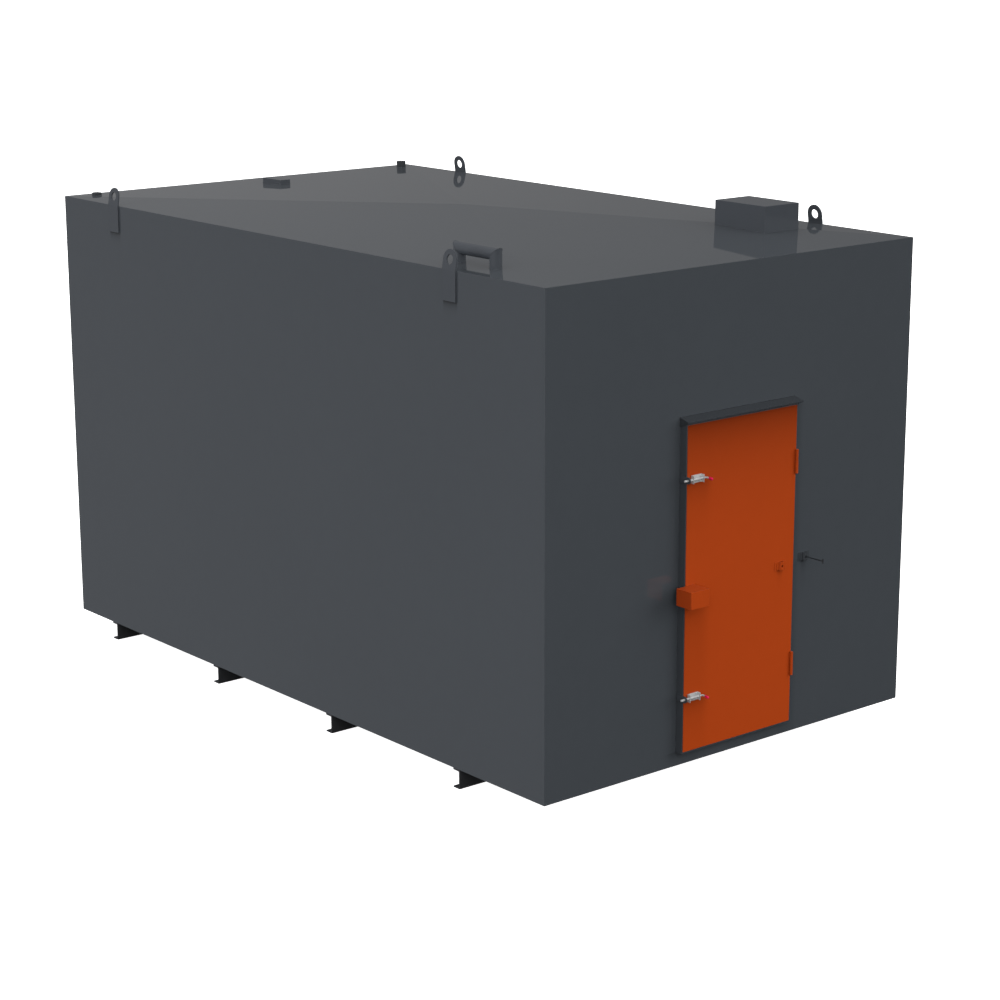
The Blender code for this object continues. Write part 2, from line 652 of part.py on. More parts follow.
def make_bolt(place, base, slide):
    """A round bar with a stop collar, bent outwards at its right end into a handle with a grip."""
    axis = LEAF_FACE + BOLT_REACH
    rightwards = Vector((1, 0, 0))
    collar_left = BOLT_BRACKET_LEFT + BOLT_BRACKET_SHEET + SEAM
    shoulder = BOLT_BRACKET_RIGHT + SEAM
    steps = [
        (BOLT_LEFT, BOLT_RADIUS - BOLT_CHAMFER),
        (BOLT_LEFT + BOLT_CHAMFER, BOLT_RADIUS),
        (collar_left, BOLT_RADIUS),
        (collar_left, COLLAR_RADIUS),
        (collar_left + COLLAR_LENGTH, COLLAR_RADIUS),
        (collar_left + COLLAR_LENGTH, BOLT_RADIUS),
        (shoulder, BOLT_RADIUS),
        (shoulder, HANDLE_RADIUS),
    ]
    stations = [(at(left, -axis, base), rightwards, radius) for left, radius in steps]

    # The handle turns from rightwards to outwards and a little past it
    turn = math.pi / 2 + HANDLE_LEAN
    start = HANDLE_BEND_LEFT - HANDLE_BEND_RADIUS
    centre = at(start, -axis - HANDLE_BEND_RADIUS, base)
    for i in range(BEND_STEPS + 1):
        a = turn * i / BEND_STEPS
        arm = HANDLE_BEND_RADIUS * Vector((math.sin(a), math.cos(a), 0))
        stations.append((centre + arm, Vector((math.cos(a), -math.sin(a), 0)), HANDLE_RADIUS))
    bend_end, outwards, radius = stations[-1]
    stations.append((bend_end + HANDLE_LENGTH * outwards, outwards, radius))
    make_object(f"bolt_rod_{place}", bent_rod(stations), "zinc_plate", slide)

    foot = stations[-1][0] + SEAM * outwards
    tilt = Vector((0, 0, 1)).rotation_difference(outwards).to_matrix().to_4x4()
    profile = [(0, 0), (GRIP_RADIUS - GRIP_CHAMFER, 0), (GRIP_RADIUS, GRIP_CHAMFER)]
    corner = (GRIP_RADIUS - GRIP_ROUNDING, GRIP_LENGTH - GRIP_ROUNDING)
    profile += arc(corner, GRIP_ROUNDING, 0, 90, ROUNDING_STEPS)
    profile.append((0, GRIP_LENGTH))
    grip = turned(profile, Matrix.Translation(foot) @ tilt, BENT_SIDES)
    make_object(f"bolt_grip_{place}", grip, "crimson_grip", slide)


def make_slide_bolts(door):
    """Both bolts, each bar on an empty on its own axis."""
    for place, base in BOLT_BASES.items():
        axis = at(BOLT_BRACKET_LEFT, -(LEAF_FACE + BOLT_REACH), base)
        slide = make_pivot(f"bolt_axis_{place}", axis, door)
        make_bolt_bracket(place, base, door)
        make_bolt(place, base, slide)


def seat_on_roof(obj):
    """Cuts a fitting off just above the sloping roof."""
    combine(obj, hipped(SEAM, TANK_HEIGHT - ROOF_RISE), "DIFFERENCE")


def roof_box(name, left, front, width, length, rise):
    """A sheet box on the roof, open below."""
    top = TANK_HEIGHT + rise
    sheet = ROOF_BOX_SHEET
    shell = make_object(
        name, box(at(left, front, TANK_HEIGHT), at(left + width, front + length, top)), "anthracite_paint"
    )
    hollow = box(
        at(left + sheet, front + sheet, TANK_HEIGHT - PAST),
        at(left + width - sheet, front + length - sheet, top - sheet),
    )
    combine(shell, hollow, "DIFFERENCE")
    seat_on_roof(shell)


def roof_plug(name, left, front, radius, rise):
    """A round plug with a small chamfer round its top."""
    shoulder = rise - PLUG_CHAMFER
    profile = [(0, 0), (radius, 0), (radius, shoulder), (radius - PLUG_CHAMFER, rise), (0, rise)]
    body = turned(profile, Matrix.Translation(at(left, front, TANK_HEIGHT)))
    seat_on_roof(make_object(name, body, "anthracite_paint"))


def make_pipe_loop():
    """A pipe out of the roof, along it and back in, of three lengths mitred together."""
    front_leg, rear_leg = PIPE_LEG_FRONTS
    axis = TANK_HEIGHT + PIPE_AXIS_RISE
    flat = Vector((0, 0, 1))
    front_cut = Vector((0, 1, 1)).normalized()
    rear_cut = Vector((0, -1, 1)).normalized()
    gap = SEAM * math.sqrt(0.5)
    legs = (("front", front_leg, front_cut), ("rear", rear_leg, rear_cut))
    for place, front, cut in legs:
        tube = mitred_tube(
            at(PIPE_LEFT, front, TANK_HEIGHT),
            at(PIPE_LEFT, front, axis - gap),
            flat,
            cut,
            PIPE_RADIUS,
            PIPE_WALL,
        )
        seat_on_roof(make_object(f"pipe_loop_{place}_leg", tube, "anthracite_paint"))
    top = mitred_tube(
        at(PIPE_LEFT, front_leg + gap, axis),
        at(PIPE_LEFT, rear_leg - gap, axis),
        front_cut,
        rear_cut,
        PIPE_RADIUS,
        PIPE_WALL,
    )
    make_object("pipe_loop_top", top, "anthracite_paint")


def make_roof_fittings():
    vent_box = (VENT_BOX_LEFT, VENT_BOX_FRONT, VENT_BOX_WIDTH, VENT_BOX_LENGTH, VENT_BOX_RISE)
    roof_box("roof_vent_box", *vent_box)
    low_box = (LOW_BOX_LEFT, LOW_BOX_FRONT, LOW_BOX_WIDTH, LOW_BOX_LENGTH, LOW_BOX_RISE)
    roof_box("roof_low_box", *low_box)
    roof_plug("roof_plug", PLUG_LEFT, PLUG_FRONT, PLUG_RADIUS, PLUG_RISE)
    roof_plug("roof_stub", STUB_LEFT, STUB_FRONT, STUB_RADIUS, STUB_RISE)
    make_pipe_loop()


def main():
    clear_scene()
    make_paints()
    make_shell()
    make_bearers()
    make_lifting_lugs()
    make_door_frame()
    door = make_pivot("door_hinge_line", at(HINGE_LEFT, HINGE_FRONT, 0))
    make_door_leaf(door)
    make_hinges(door)
    make_lock_box(door)
    make_retainer(door)
    make_slide_bolts(door)
    make_roof_fittings()


main()
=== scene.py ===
"""Dresses the storage tank: bevelled steelwork, weld beads, paint, plated fittings, studio and camera.

Metres, +Z up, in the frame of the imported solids. Places are given as in the tank's own source: "left"
from the outer face of the left side wall, "front" from the outer face of the door wall (outwards is
negative), "base" from the underside of the floor plate.
"""

import logging
import math
from collections.abc import Iterable, Sequence
from dataclasses import dataclass, field
from enum import Enum

import bmesh
import bpy
from mathutils import Matrix, Vector


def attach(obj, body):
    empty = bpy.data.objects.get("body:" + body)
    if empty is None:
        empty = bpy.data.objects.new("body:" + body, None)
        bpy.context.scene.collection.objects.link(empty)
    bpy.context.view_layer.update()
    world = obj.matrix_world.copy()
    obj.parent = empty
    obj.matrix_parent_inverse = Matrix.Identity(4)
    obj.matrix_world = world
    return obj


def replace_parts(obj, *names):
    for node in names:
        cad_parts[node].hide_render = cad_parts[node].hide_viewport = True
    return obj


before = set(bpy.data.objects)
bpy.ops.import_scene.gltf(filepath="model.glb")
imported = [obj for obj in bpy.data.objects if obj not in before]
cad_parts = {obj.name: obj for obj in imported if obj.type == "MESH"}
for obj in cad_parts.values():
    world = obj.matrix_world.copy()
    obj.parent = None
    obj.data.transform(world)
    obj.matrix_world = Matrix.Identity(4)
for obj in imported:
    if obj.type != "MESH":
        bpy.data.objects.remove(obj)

LOG = logging.getLogger("tank")
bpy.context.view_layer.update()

Pair = tuple[float, float]
Triple = tuple[float, float, float]
Socket = bpy.types.NodeSocket
Inputs = dict[str | int, object]
Piece = bpy.types.Object
Path = Sequence[Vector]

TANK_WIDTH = 2.45
TANK_LENGTH = 4.20
TANK_HEIGHT = 2.45
ROOF_RISE = 0.060
BEARER_HEIGHT = 0.100
SEAM = 0.0003
LEAF_FACE = 0.0500
LOCK_BOX_DEPTH = 0.1032
FRONT_Y = (LEAF_FACE + SEAM + LOCK_BOX_DEPTH - TANK_LENGTH) / 2
QUARTER = math.pi / 2
RIGHT = Vector((1, 0, 0))
UP = Vector((0, 0, 1))
# Angle in degrees from which an edge is shaded sharp and bevelled.
CREASE = 32.0
# Corners closer than this are one corner.
MERGED = 1e-6
# How far a cutter reaches beyond what it cuts.
PAST = 0.010
# Spacing of a weld's ripples in bead radii, and a ripple's half length in spacings.
BEAD_PITCH = 1.4
RIPPLE_LENGTH = 1.5


def at(left: float, front: float, base: float) -> Vector:
    """A point of the tank in the shared frame.

    Args:
        left: distance from the left side wall's outer face.
        front: distance behind the door wall's outer face.
        base: height above the floor plate's underside.

    Returns:
        The point in metres.
    """
    return Vector((left - TANK_WIDTH / 2, FRONT_Y + front, BEARER_HEIGHT + base))


def roof_height(left: float, front: float) -> float:
    """Height of the roof's surface over the floor plate's underside.

    Args:
        left: distance from the left side wall's outer face.
        front: distance behind the door wall's outer face.

    Returns:
        The height in metres.
    """
    across = 2 * min(left, TANK_WIDTH - left) / TANK_WIDTH
    along = 2 * min(front, TANK_LENGTH - front) / TANK_LENGTH
    return TANK_HEIGHT + ROOF_RISE * min(across, along)


def ringed(items: Sequence) -> Iterable[tuple]:
    """Each item of a closed row with the one that follows it."""
    return zip(items, [*items[1:], items[0]])


class Body(Enum):
    """The bodies that pieces ride on."""

    TANK = "tank"
    DOOR = "door"
    BOLT_UPPER = "bolt_upper"
    BOLT_LOWER = "bolt_lower"


class Slot(Enum):
    """The record's material slots."""

    ANTHRACITE = "anthracite_paint"
    ORANGE = "orange_paint"
    ZINC = "zinc_plate"
    GRIP = "crimson_grip"


class Height(Enum):
    """The two heights at which the door's slide bolts sit, above the floor's underside."""

    UPPER = 1.4475
    LOWER = 0.357

    @property
    def place(self) -> str:
        """The word that the nodes use for this height."""
        return self.name.lower()


# Node trees

FLOAT, COLOUR, GEOMETRY = "NodeSocketFloat", "NodeSocketColor", "NodeSocketGeometry"


class Nodes:
    """Makes and joins the nodes of one tree."""

    def __init__(self, tree: bpy.types.NodeTree) -> None:
        """Keeps the tree."""
        self.tree = tree

    def node(self, kind: str, **settings: object) -> bpy.types.Node:
        """A new node in the tree with some of its properties set.

        Args:
            kind: the node's type.
            settings: its properties.

        Returns:
            The node.
        """
        made = self.tree.nodes.new(kind)
        for name, value in settings.items():
            setattr(made, name, value)
        return made

    def fill(self, node: bpy.types.Node, inputs: Inputs) -> None:
        """Gives a node its inputs.

        Args:
            node: the node.
            inputs: what each input gets, by its name or number: a value, or a socket that is linked.
        """
        for key, value in inputs.items():
            if isinstance(value, Socket):
                self.tree.links.new(value, node.inputs[key])
            else:
                node.inputs[key].default_value = value

    def out(self, kind: str, output: str | int, inputs: Inputs | None = None, **settings: object) -> Socket:
        """Makes a node for one of its outputs.

        Args:
            kind: the node's type.
            output: the output's name or number.
            inputs: what each input gets, as in fill.
            settings: the node's properties.

        Returns:
            The output's socket.
        """
        made = self.node(kind, **settings)
        self.fill(made, inputs or {})
        return made.outputs[output]

    def math(self, operation: str, *values: object) -> Socket:
        """The result of a Math node fed by numbers or sockets."""
        return self.out("ShaderNodeMath", 0, dict(enumerate(values)), operation=operation)

    def scaled(self, vector: object, factor: object) -> Socket:
        """A vector or a colour times a value."""
        return self.out("ShaderNodeVectorMath", 0, {0: vector, "Scale": factor}, operation="SCALE")

    def mixed(self, factor: object, first: object, second: object) -> Socket:
        """The first colour where the factor is 0, and the second where it is 1."""
        colours = {"Factor": factor, "A": first, "B": second}
        return self.out("ShaderNodeMix", "Result", colours, data_type="RGBA")

    def span(self, value: object, given: Pair, wanted: Pair, **settings: object) -> Socket:
        """A value carried from a given range to a wanted one, and held at its ends."""
        limits = dict(zip(("From Min", "From Max", "To Min", "To Max"), given + wanted))
        return self.out("ShaderNodeMapRange", "Result", {"Value": value, **limits}, **settings)


@dataclass(frozen=True)
class Pattern:
    """A noise on Object coordinates: features per metre, octaves, two limits and a stretch on each axis."""

    scale: float
    detail: float
    limits: Pair = (0.0, 1.0)
    stretch: tuple[float, ...] = ()


class NodeGroup(Nodes):
    """A tree of its own that is built once and placed wherever it is used."""

    MIDDLE_OF_NOISE = (0.3, 0.7)

    def __init__(
        self, name: str, inputs: dict[str, str], outputs: dict[str, str], kind: str = "ShaderNodeTree"
    ) -> None:
        """Makes the empty group with its sockets.

        Args:
            name: the group's name.
            inputs: the type of each input by its name.
            outputs: the type of each output by its name.
            kind: the type of tree.
        """
        super().__init__(bpy.data.node_groups.new(name, kind))
        face = self.tree.interface
        self.keys = {
            label: face.new_socket(label, in_out="INPUT", socket_type=socket).identifier
            for label, socket in inputs.items()
        }
        for label, socket in outputs.items():
            face.new_socket(label, in_out="OUTPUT", socket_type=socket)
        self.given = self.node("NodeGroupInput").outputs
        self.exit = self.node("NodeGroupOutput")

    def noise(self, pattern: Pattern) -> Socket:
        """A pattern's plain noise, which stays near a half.

        Args:
            pattern: its scale, octaves and stretch.

        Returns:
            The noise's socket.
        """
        place = self.out("ShaderNodeTexCoord", "Object")
        if pattern.stretch:
            place = self.out("ShaderNodeMapping", "Vector", {"Vector": place, "Scale": pattern.stretch})
        inputs = {"Vector": place, "Scale": pattern.scale, "Detail": pattern.detail}
        return self.out("ShaderNodeTexNoise", "Fac", inputs)

    def ranged(self, pattern: Pattern) -> Socket:
        """A pattern's noise stretched to run between its limits."""
        return self.span(self.noise(pattern), self.MIDDLE_OF_NOISE, pattern.limits)


# Finishes


@dataclass(frozen=True)
class Skin:
    """A kind of surface, as a node group that works on a colour and a roughness."""

    name: str
    tone: tuple[Pattern, ...]
    rough: Pattern
    relief: tuple[tuple[Pattern, float], ...]

    def build(self) -> None:
        """Makes the group: the tone is added to the colour's factor and the relief is a bump's height."""
        given = {"Colour": COLOUR, "Roughness": FLOAT}
        group = NodeGroup(self.name, given, {**given, "Height": FLOAT})
        factor: object = 1.0
        for pattern in self.tone:
            factor = group.math("ADD", factor, group.ranged(pattern))
        height: object = 0.0
        for pattern, weight in self.relief:
            height = group.math("MULTIPLY_ADD", group.noise(pattern), weight, height)
        group.fill(group.exit, {
            "Colour": group.scaled(group.given["Colour"], factor),
            "Roughness": group.math("ADD", group.given["Roughness"], group.ranged(self.rough)),
            "Height": height,
        })


# Fine lines drawn along X.
DRAWN = Pattern(900, 2, (-0.04, 0.08), (0.06, 1.0, 1.0))
SKINS = (
    # Sprayed paint: slow drift of tone, a faint dusty bloom and the fine ripple of a sprayed coat.
    Skin(
        "paint_film",
        tone=(Pattern(0.9, 3, (-0.015, 0.015)), Pattern(14, 4, (-0.012, 0.012))),
        rough=Pattern(2.2, 4, (0.0, 0.02), (1.0, 1.0, 0.22)),
        relief=((Pattern(230, 2), 0.35), (Pattern(1.6, 1), 0.65)),
    ),
    # Bright zinc plate: cloudy tone, fine drawn lines and a little pitting.
    Skin(
        "plated_skin",
        tone=(Pattern(60, 3, (-0.12, 0.12)),),
        rough=DRAWN,
        relief=((DRAWN, 1.0), (Pattern(420, 3), 1.0)),
    ),
    # Soft dipped plastic: a slow sag of tone and a slightly uneven skin.
    Skin(
        "dipped_skin",
        tone=(Pattern(90, 2, (-0.08, 0.08)),),
        rough=Pattern(240, 3, (-0.05, 0.07)),
        relief=((Pattern(300, 2), 1.0),),
    ),
)


class Along(Enum):
    """The way that a wall runs: the door end runs along X, the sides along Y."""

    X = 0
    Y = 1


@dataclass(frozen=True)
class ShadeMark:
    """Shade painted into a paint's colour below something that stands proud, or on its top: darkest at the
    mark's top.

    It reaches no further in than the plane that lies behind the wall's outer face by the value behind.
    """

    middle: float
    half_width: float
    soft: float
    top: float
    fade: float
    depth: float
    along: Along = Along.X
    behind: float = 0.002


# Marks on the leaf reach in to just behind its outer face.
ON_LEAF = (Along.X, -0.0495)
# Painted shade on the leaf: under the hood's lip, below the two bolts, below and just above the lock box, and
# below the keeper.
DOOR_SHADE_MARKS = (
    ShadeMark(1.2147, 0.60, 0.05, 1.7225, 0.178, 0.60, *ON_LEAF),
    ShadeMark(1.2147, 0.60, 0.05, 1.7225, 0.011, 0.42, *ON_LEAF),
    ShadeMark(0.9100, 0.05, 0.06, 1.4280, 0.085, 0.25, *ON_LEAF),
    ShadeMark(0.9100, 0.05, 0.06, 0.3375, 0.085, 0.25, *ON_LEAF),
    ShadeMark(0.8700, 0.07, 0.09, 0.8402, 0.330, 0.20, *ON_LEAF),
    ShadeMark(0.8700, 0.07, 0.05, 0.8402, 0.030, 0.12, *ON_LEAF),
    ShadeMark(0.8450, 0.09, 0.01, 0.9414, 0.001, 0.12, *ON_LEAF),
    ShadeMark(1.4900, 0.022, 0.006, 0.8910, 0.005, 0.45, *ON_LEAF),
    ShadeMark(1.4900, 0.006, 0.020, 0.8910, 0.030, 0.30, *ON_LEAF),
)
# Painted shade on the walls: below the lugs' feet, below the retainer's wall bracket, in a long band beside
# the frame's right side, and below the frame's foot.
SHELL_SHADE_MARKS = (
    ShadeMark(0.6805, 0.047, 0.010, 2.3027, 0.018, 0.75, Along.Y),
    ShadeMark(3.6625, 0.047, 0.010, 2.3027, 0.018, 0.75, Along.Y),
    ShadeMark(1.7090, 0.022, 0.006, 0.8910, 0.006, 0.45),
    ShadeMark(1.7090, 0.006, 0.022, 0.8910, 0.050, 0.25),
    ShadeMark(1.6100, 0.030, 0.050, 1.7000, 6.000, 0.14),
    ShadeMark(0.8870, 0.070, 0.060, 0.0720, 0.040, 0.20),
)


class Grime(NodeGroup):
    """A factor for a paint's colour: painted shade, darker in the shade marks."""

    def __init__(self, name: str, marks: Sequence[ShadeMark]) -> None:
        """Builds the group's nodes.

        Args:
            name: the group's name.
            marks: the run marks on what carries the paint.
        """
        super().__init__(name, {}, {"Factor": FLOAT})
        parts = self.node("ShaderNodeSeparateXYZ")
        self.fill(parts, {0: self.out("ShaderNodeTexCoord", "Object")})
        self.place = parts.outputs
        factor: object = 1.0
        for mark in marks:
            factor = self.math("MULTIPLY", factor, self.mark(mark))
        self.fill(self.exit, {"Factor": factor})

    def mark(self, mark: ShadeMark) -> Socket:
        """The factor of one mark.

        Args:
            mark: where it is and how dark.

        Returns:
            A value from 1 outside the mark down to 1 less its depth at its top.
        """
        head = at(mark.middle, mark.middle, mark.top)
        below = self.math("SUBTRACT", head.z, self.place["Z"])
        fading = self.math("EXPONENT", self.math("DIVIDE", self.math("MAXIMUM", below, 0.0), -mark.fade))
        if mark.along is Along.X:
            outside = self.math("LESS_THAN", self.place["Y"], at(0, mark.behind, 0).y)
        else:
            half = self.math("ABSOLUTE", self.place["X"])
            outside = self.math("GREATER_THAN", half, TANK_WIDTH / 2 - mark.behind)
        shown = self.math("MULTIPLY", self.math("GREATER_THAN", below, 0.0), outside)
        run = self.place[mark.along.name]
        beside = self.math("ABSOLUTE", self.math("SUBTRACT", run, head[mark.along.value]))
        edge = (mark.half_width, mark.half_width + mark.soft)
        side = self.span(beside, edge, (mark.depth, 0.0), interpolation_type="SMOOTHSTEP")
        return self.math("SUBTRACT", 1.0, self.math("MULTIPLY", self.math("MULTIPLY", fading, shown), side))


@dataclass(frozen=True)
class Finish:
    """A material: one node group feeding a Principled shader, with the shader's own constants."""

    name: str
    colour: Triple
    roughness: float
    bump: float = 0.04
    skin: str = "paint_film"
    slot: Slot = Slot.ANTHRACITE
    metallic: float = 0.0
    specular: float = 0.5
    coat: float = 0.0
    coat_roughness: float = 0.05
    bump_distance: float = 0.0004
    # Name of the node group that paints shade into the colour; empty for none.
    grime: str = ""

    def build(self) -> None:
        """Makes the material."""
        material = bpy.data.materials.new(self.name)
        material.use_nodes = True
        nodes = Nodes(material.node_tree)
        surface = nodes.node("ShaderNodeGroup", node_tree=bpy.data.node_groups[self.skin])
        nodes.fill(surface, {"Colour": (*self.colour, 1.0), "Roughness": self.roughness})
        colour = surface.outputs["Colour"]
        # Painted shade: the colour is scaled by the shade marks' factor.
        if self.grime:
            group = bpy.data.node_groups[self.grime]
            colour = nodes.scaled(colour, nodes.out("ShaderNodeGroup", "Factor", node_tree=group))
        relief = {
            "Strength": self.bump, "Distance": self.bump_distance, "Height": surface.outputs["Height"],
        }
        nodes.fill(nodes.tree.nodes["Principled BSDF"], {
            "Base Color": colour,
            "Roughness": surface.outputs["Roughness"],
            "Normal": nodes.out("ShaderNodeBump", "Normal", relief),
            "Metallic": self.metallic,
            "Specular IOR Level": self.specular,
            "Coat Weight": self.coat,
            "Coat Roughness": self.coat_roughness,
        })


class Coat(Enum):
    """The tank's finishes."""

    # The shell's paint carries painted shade below the lugs and the retainer and beside the frame.
    SHELL = Finish("anthracite_paint_shell", (0.0470, 0.0528, 0.0595), 0.03, 0.02, grime="shell_painted_shade")
    FITTING = Finish("anthracite_paint_fitting", (0.0462, 0.0513, 0.0588), 0.08)
    DARK = Finish("anthracite_paint_dark", (0.024, 0.027, 0.030), 0.25)
    BRACKET = Finish("anthracite_paint_bracket", (0.038, 0.042, 0.047), 0.2)
    # A darker copy of the fitting paint: painted shade on the frame round the leaf.
    FRAME = Finish("anthracite_paint_frame_shaded", (0.0410, 0.0455, 0.0515), 0.1)
    # A darker copy of the fitting paint: painted shade on the hood.
    HOOD = Finish("anthracite_paint_hood_shaded", (0.0300, 0.0337, 0.0382), 0.12)
    # Darker than the shell's paint: painted shade on the bearers in the tank's shadow.
    BEARER = Finish("bearer_paint_shaded", (0.026, 0.027, 0.029), 0.42, 0.2)
    # The door's orange carries painted shade under the hood and below its fittings.
    ORANGE = Finish(
        "orange_paint_door", (0.336, 0.0440, 0.0062), 0.28, slot=Slot.ORANGE, specular=0.2, grime="door_painted_shade"
    )
    ZINC = Finish("zinc_plate_fitting", (0.58, 0.59, 0.59), 0.45, 0.05, "plated_skin", Slot.ZINC, 0.45)
    GRIP = Finish(
        "crimson_dipped_grip", (0.62, 0.0005, 0.066), 0.34, 0.05, "dipped_skin", Slot.GRIP, coat=0.1
    )

    @property
    def material(self) -> bpy.types.Material:
        """The finish's built material."""
        return bpy.data.materials[self.value.name]


def build_finishes() -> None:
    """Makes the node groups and then the materials."""
    for skin in SKINS:
        skin.build()
    # Node groups that paint shade into the leaf's and the walls' colour.
    Grime("door_painted_shade", DOOR_SHADE_MARKS)
    Grime("shell_painted_shade", SHELL_SHADE_MARKS)
    for coat in Coat:
        coat.value.build()


# Meshes


def outline_arc(centre: Pair, radius: float, start: float, end: float, steps: int) -> list[Pair]:
    """Points of an arc in a plane.

    Args:
        centre: the arc's centre.
        radius: its radius.
        start: first angle in degrees.
        end: last angle in degrees.
        steps: number of straight pieces.

    Returns:
        The points in order.
    """
    angles = [math.radians(start + (end - start) * i / steps) for i in range(steps + 1)]
    return [(centre[0] + radius * math.cos(a), centre[1] + radius * math.sin(a)) for a in angles]


def outline_circle(centre: Pair, radius: float, sides: int) -> list[Pair]:
    """Points of a circle in a plane, each given once."""
    return outline_arc(centre, radius, 0, 360 - 360 / sides, sides - 1)


def rounded(points: Sequence[Pair], radii: Sequence[float], steps: int) -> list[Pair]:
    """A closed outline with its corners rounded.

    Args:
        points: the sharp corners in order.
        radii: a radius for each corner, 0 for one that stays sharp.
        steps: straight pieces in each rounding.

    Returns:
        The new outline.
    """
    out: list[Pair] = []
    for i, (corner, radius) in enumerate(zip(points, radii)):
        here = Vector(corner)
        before = (Vector(points[i - 1]) - here).normalized()
        after = (Vector(points[(i + 1) % len(points)]) - here).normalized()
        if radius <= 0:
            out.append((here.x, here.y))
            continue
        half = before.angle(after) / 2
        middle = (before + after).normalized()
        centre = here + middle * (radius / math.sin(half))
        first = (here + before * (radius / math.tan(half)) - centre).normalized()
        last = (here + after * (radius / math.tan(half)) - centre).normalized()
        for k in range(steps + 1):
            spoke = centre + radius * first.slerp(last, k / steps)
            out.append((spoke.x, spoke.y))
    return out


def spokes(first: Vector, second: Vector, sides: int) -> list[Vector]:
    """Unit steps round a circle that starts along one vector and turns towards another."""
    angles = [2 * math.pi * i / sides for i in range(sides)]
    return [math.cos(a) * first + math.sin(a) * second for a in angles]


def shown(name: str, mesh: bpy.types.Mesh) -> Piece:
    """A new object with a mesh, in the scene.

    Args:
        name: the object's name.
        mesh: its mesh.

    Returns:
        The object.
    """
    made = bpy.data.objects.new(name, mesh)
    bpy.context.scene.collection.objects.link(made)
    return made


def applied(piece: Piece) -> bpy.types.Mesh:
    """A new mesh: the piece's own with its modifiers applied."""
    view = bpy.context.evaluated_depsgraph_get()
    return bpy.data.meshes.new_from_object(piece.evaluated_get(view), depsgraph=view)


def hung(piece: Piece, coat: Coat, body: Body) -> Piece:
    """Hangs a piece on its body.

    Args:
        piece: the piece.
        coat: not used.
        body: the body that it rides on.

    Returns:
        The same piece.
    """
    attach(piece, body.value)
    LOG.info("%s: %d faces", piece.name, len(piece.data.polygons))
    return piece


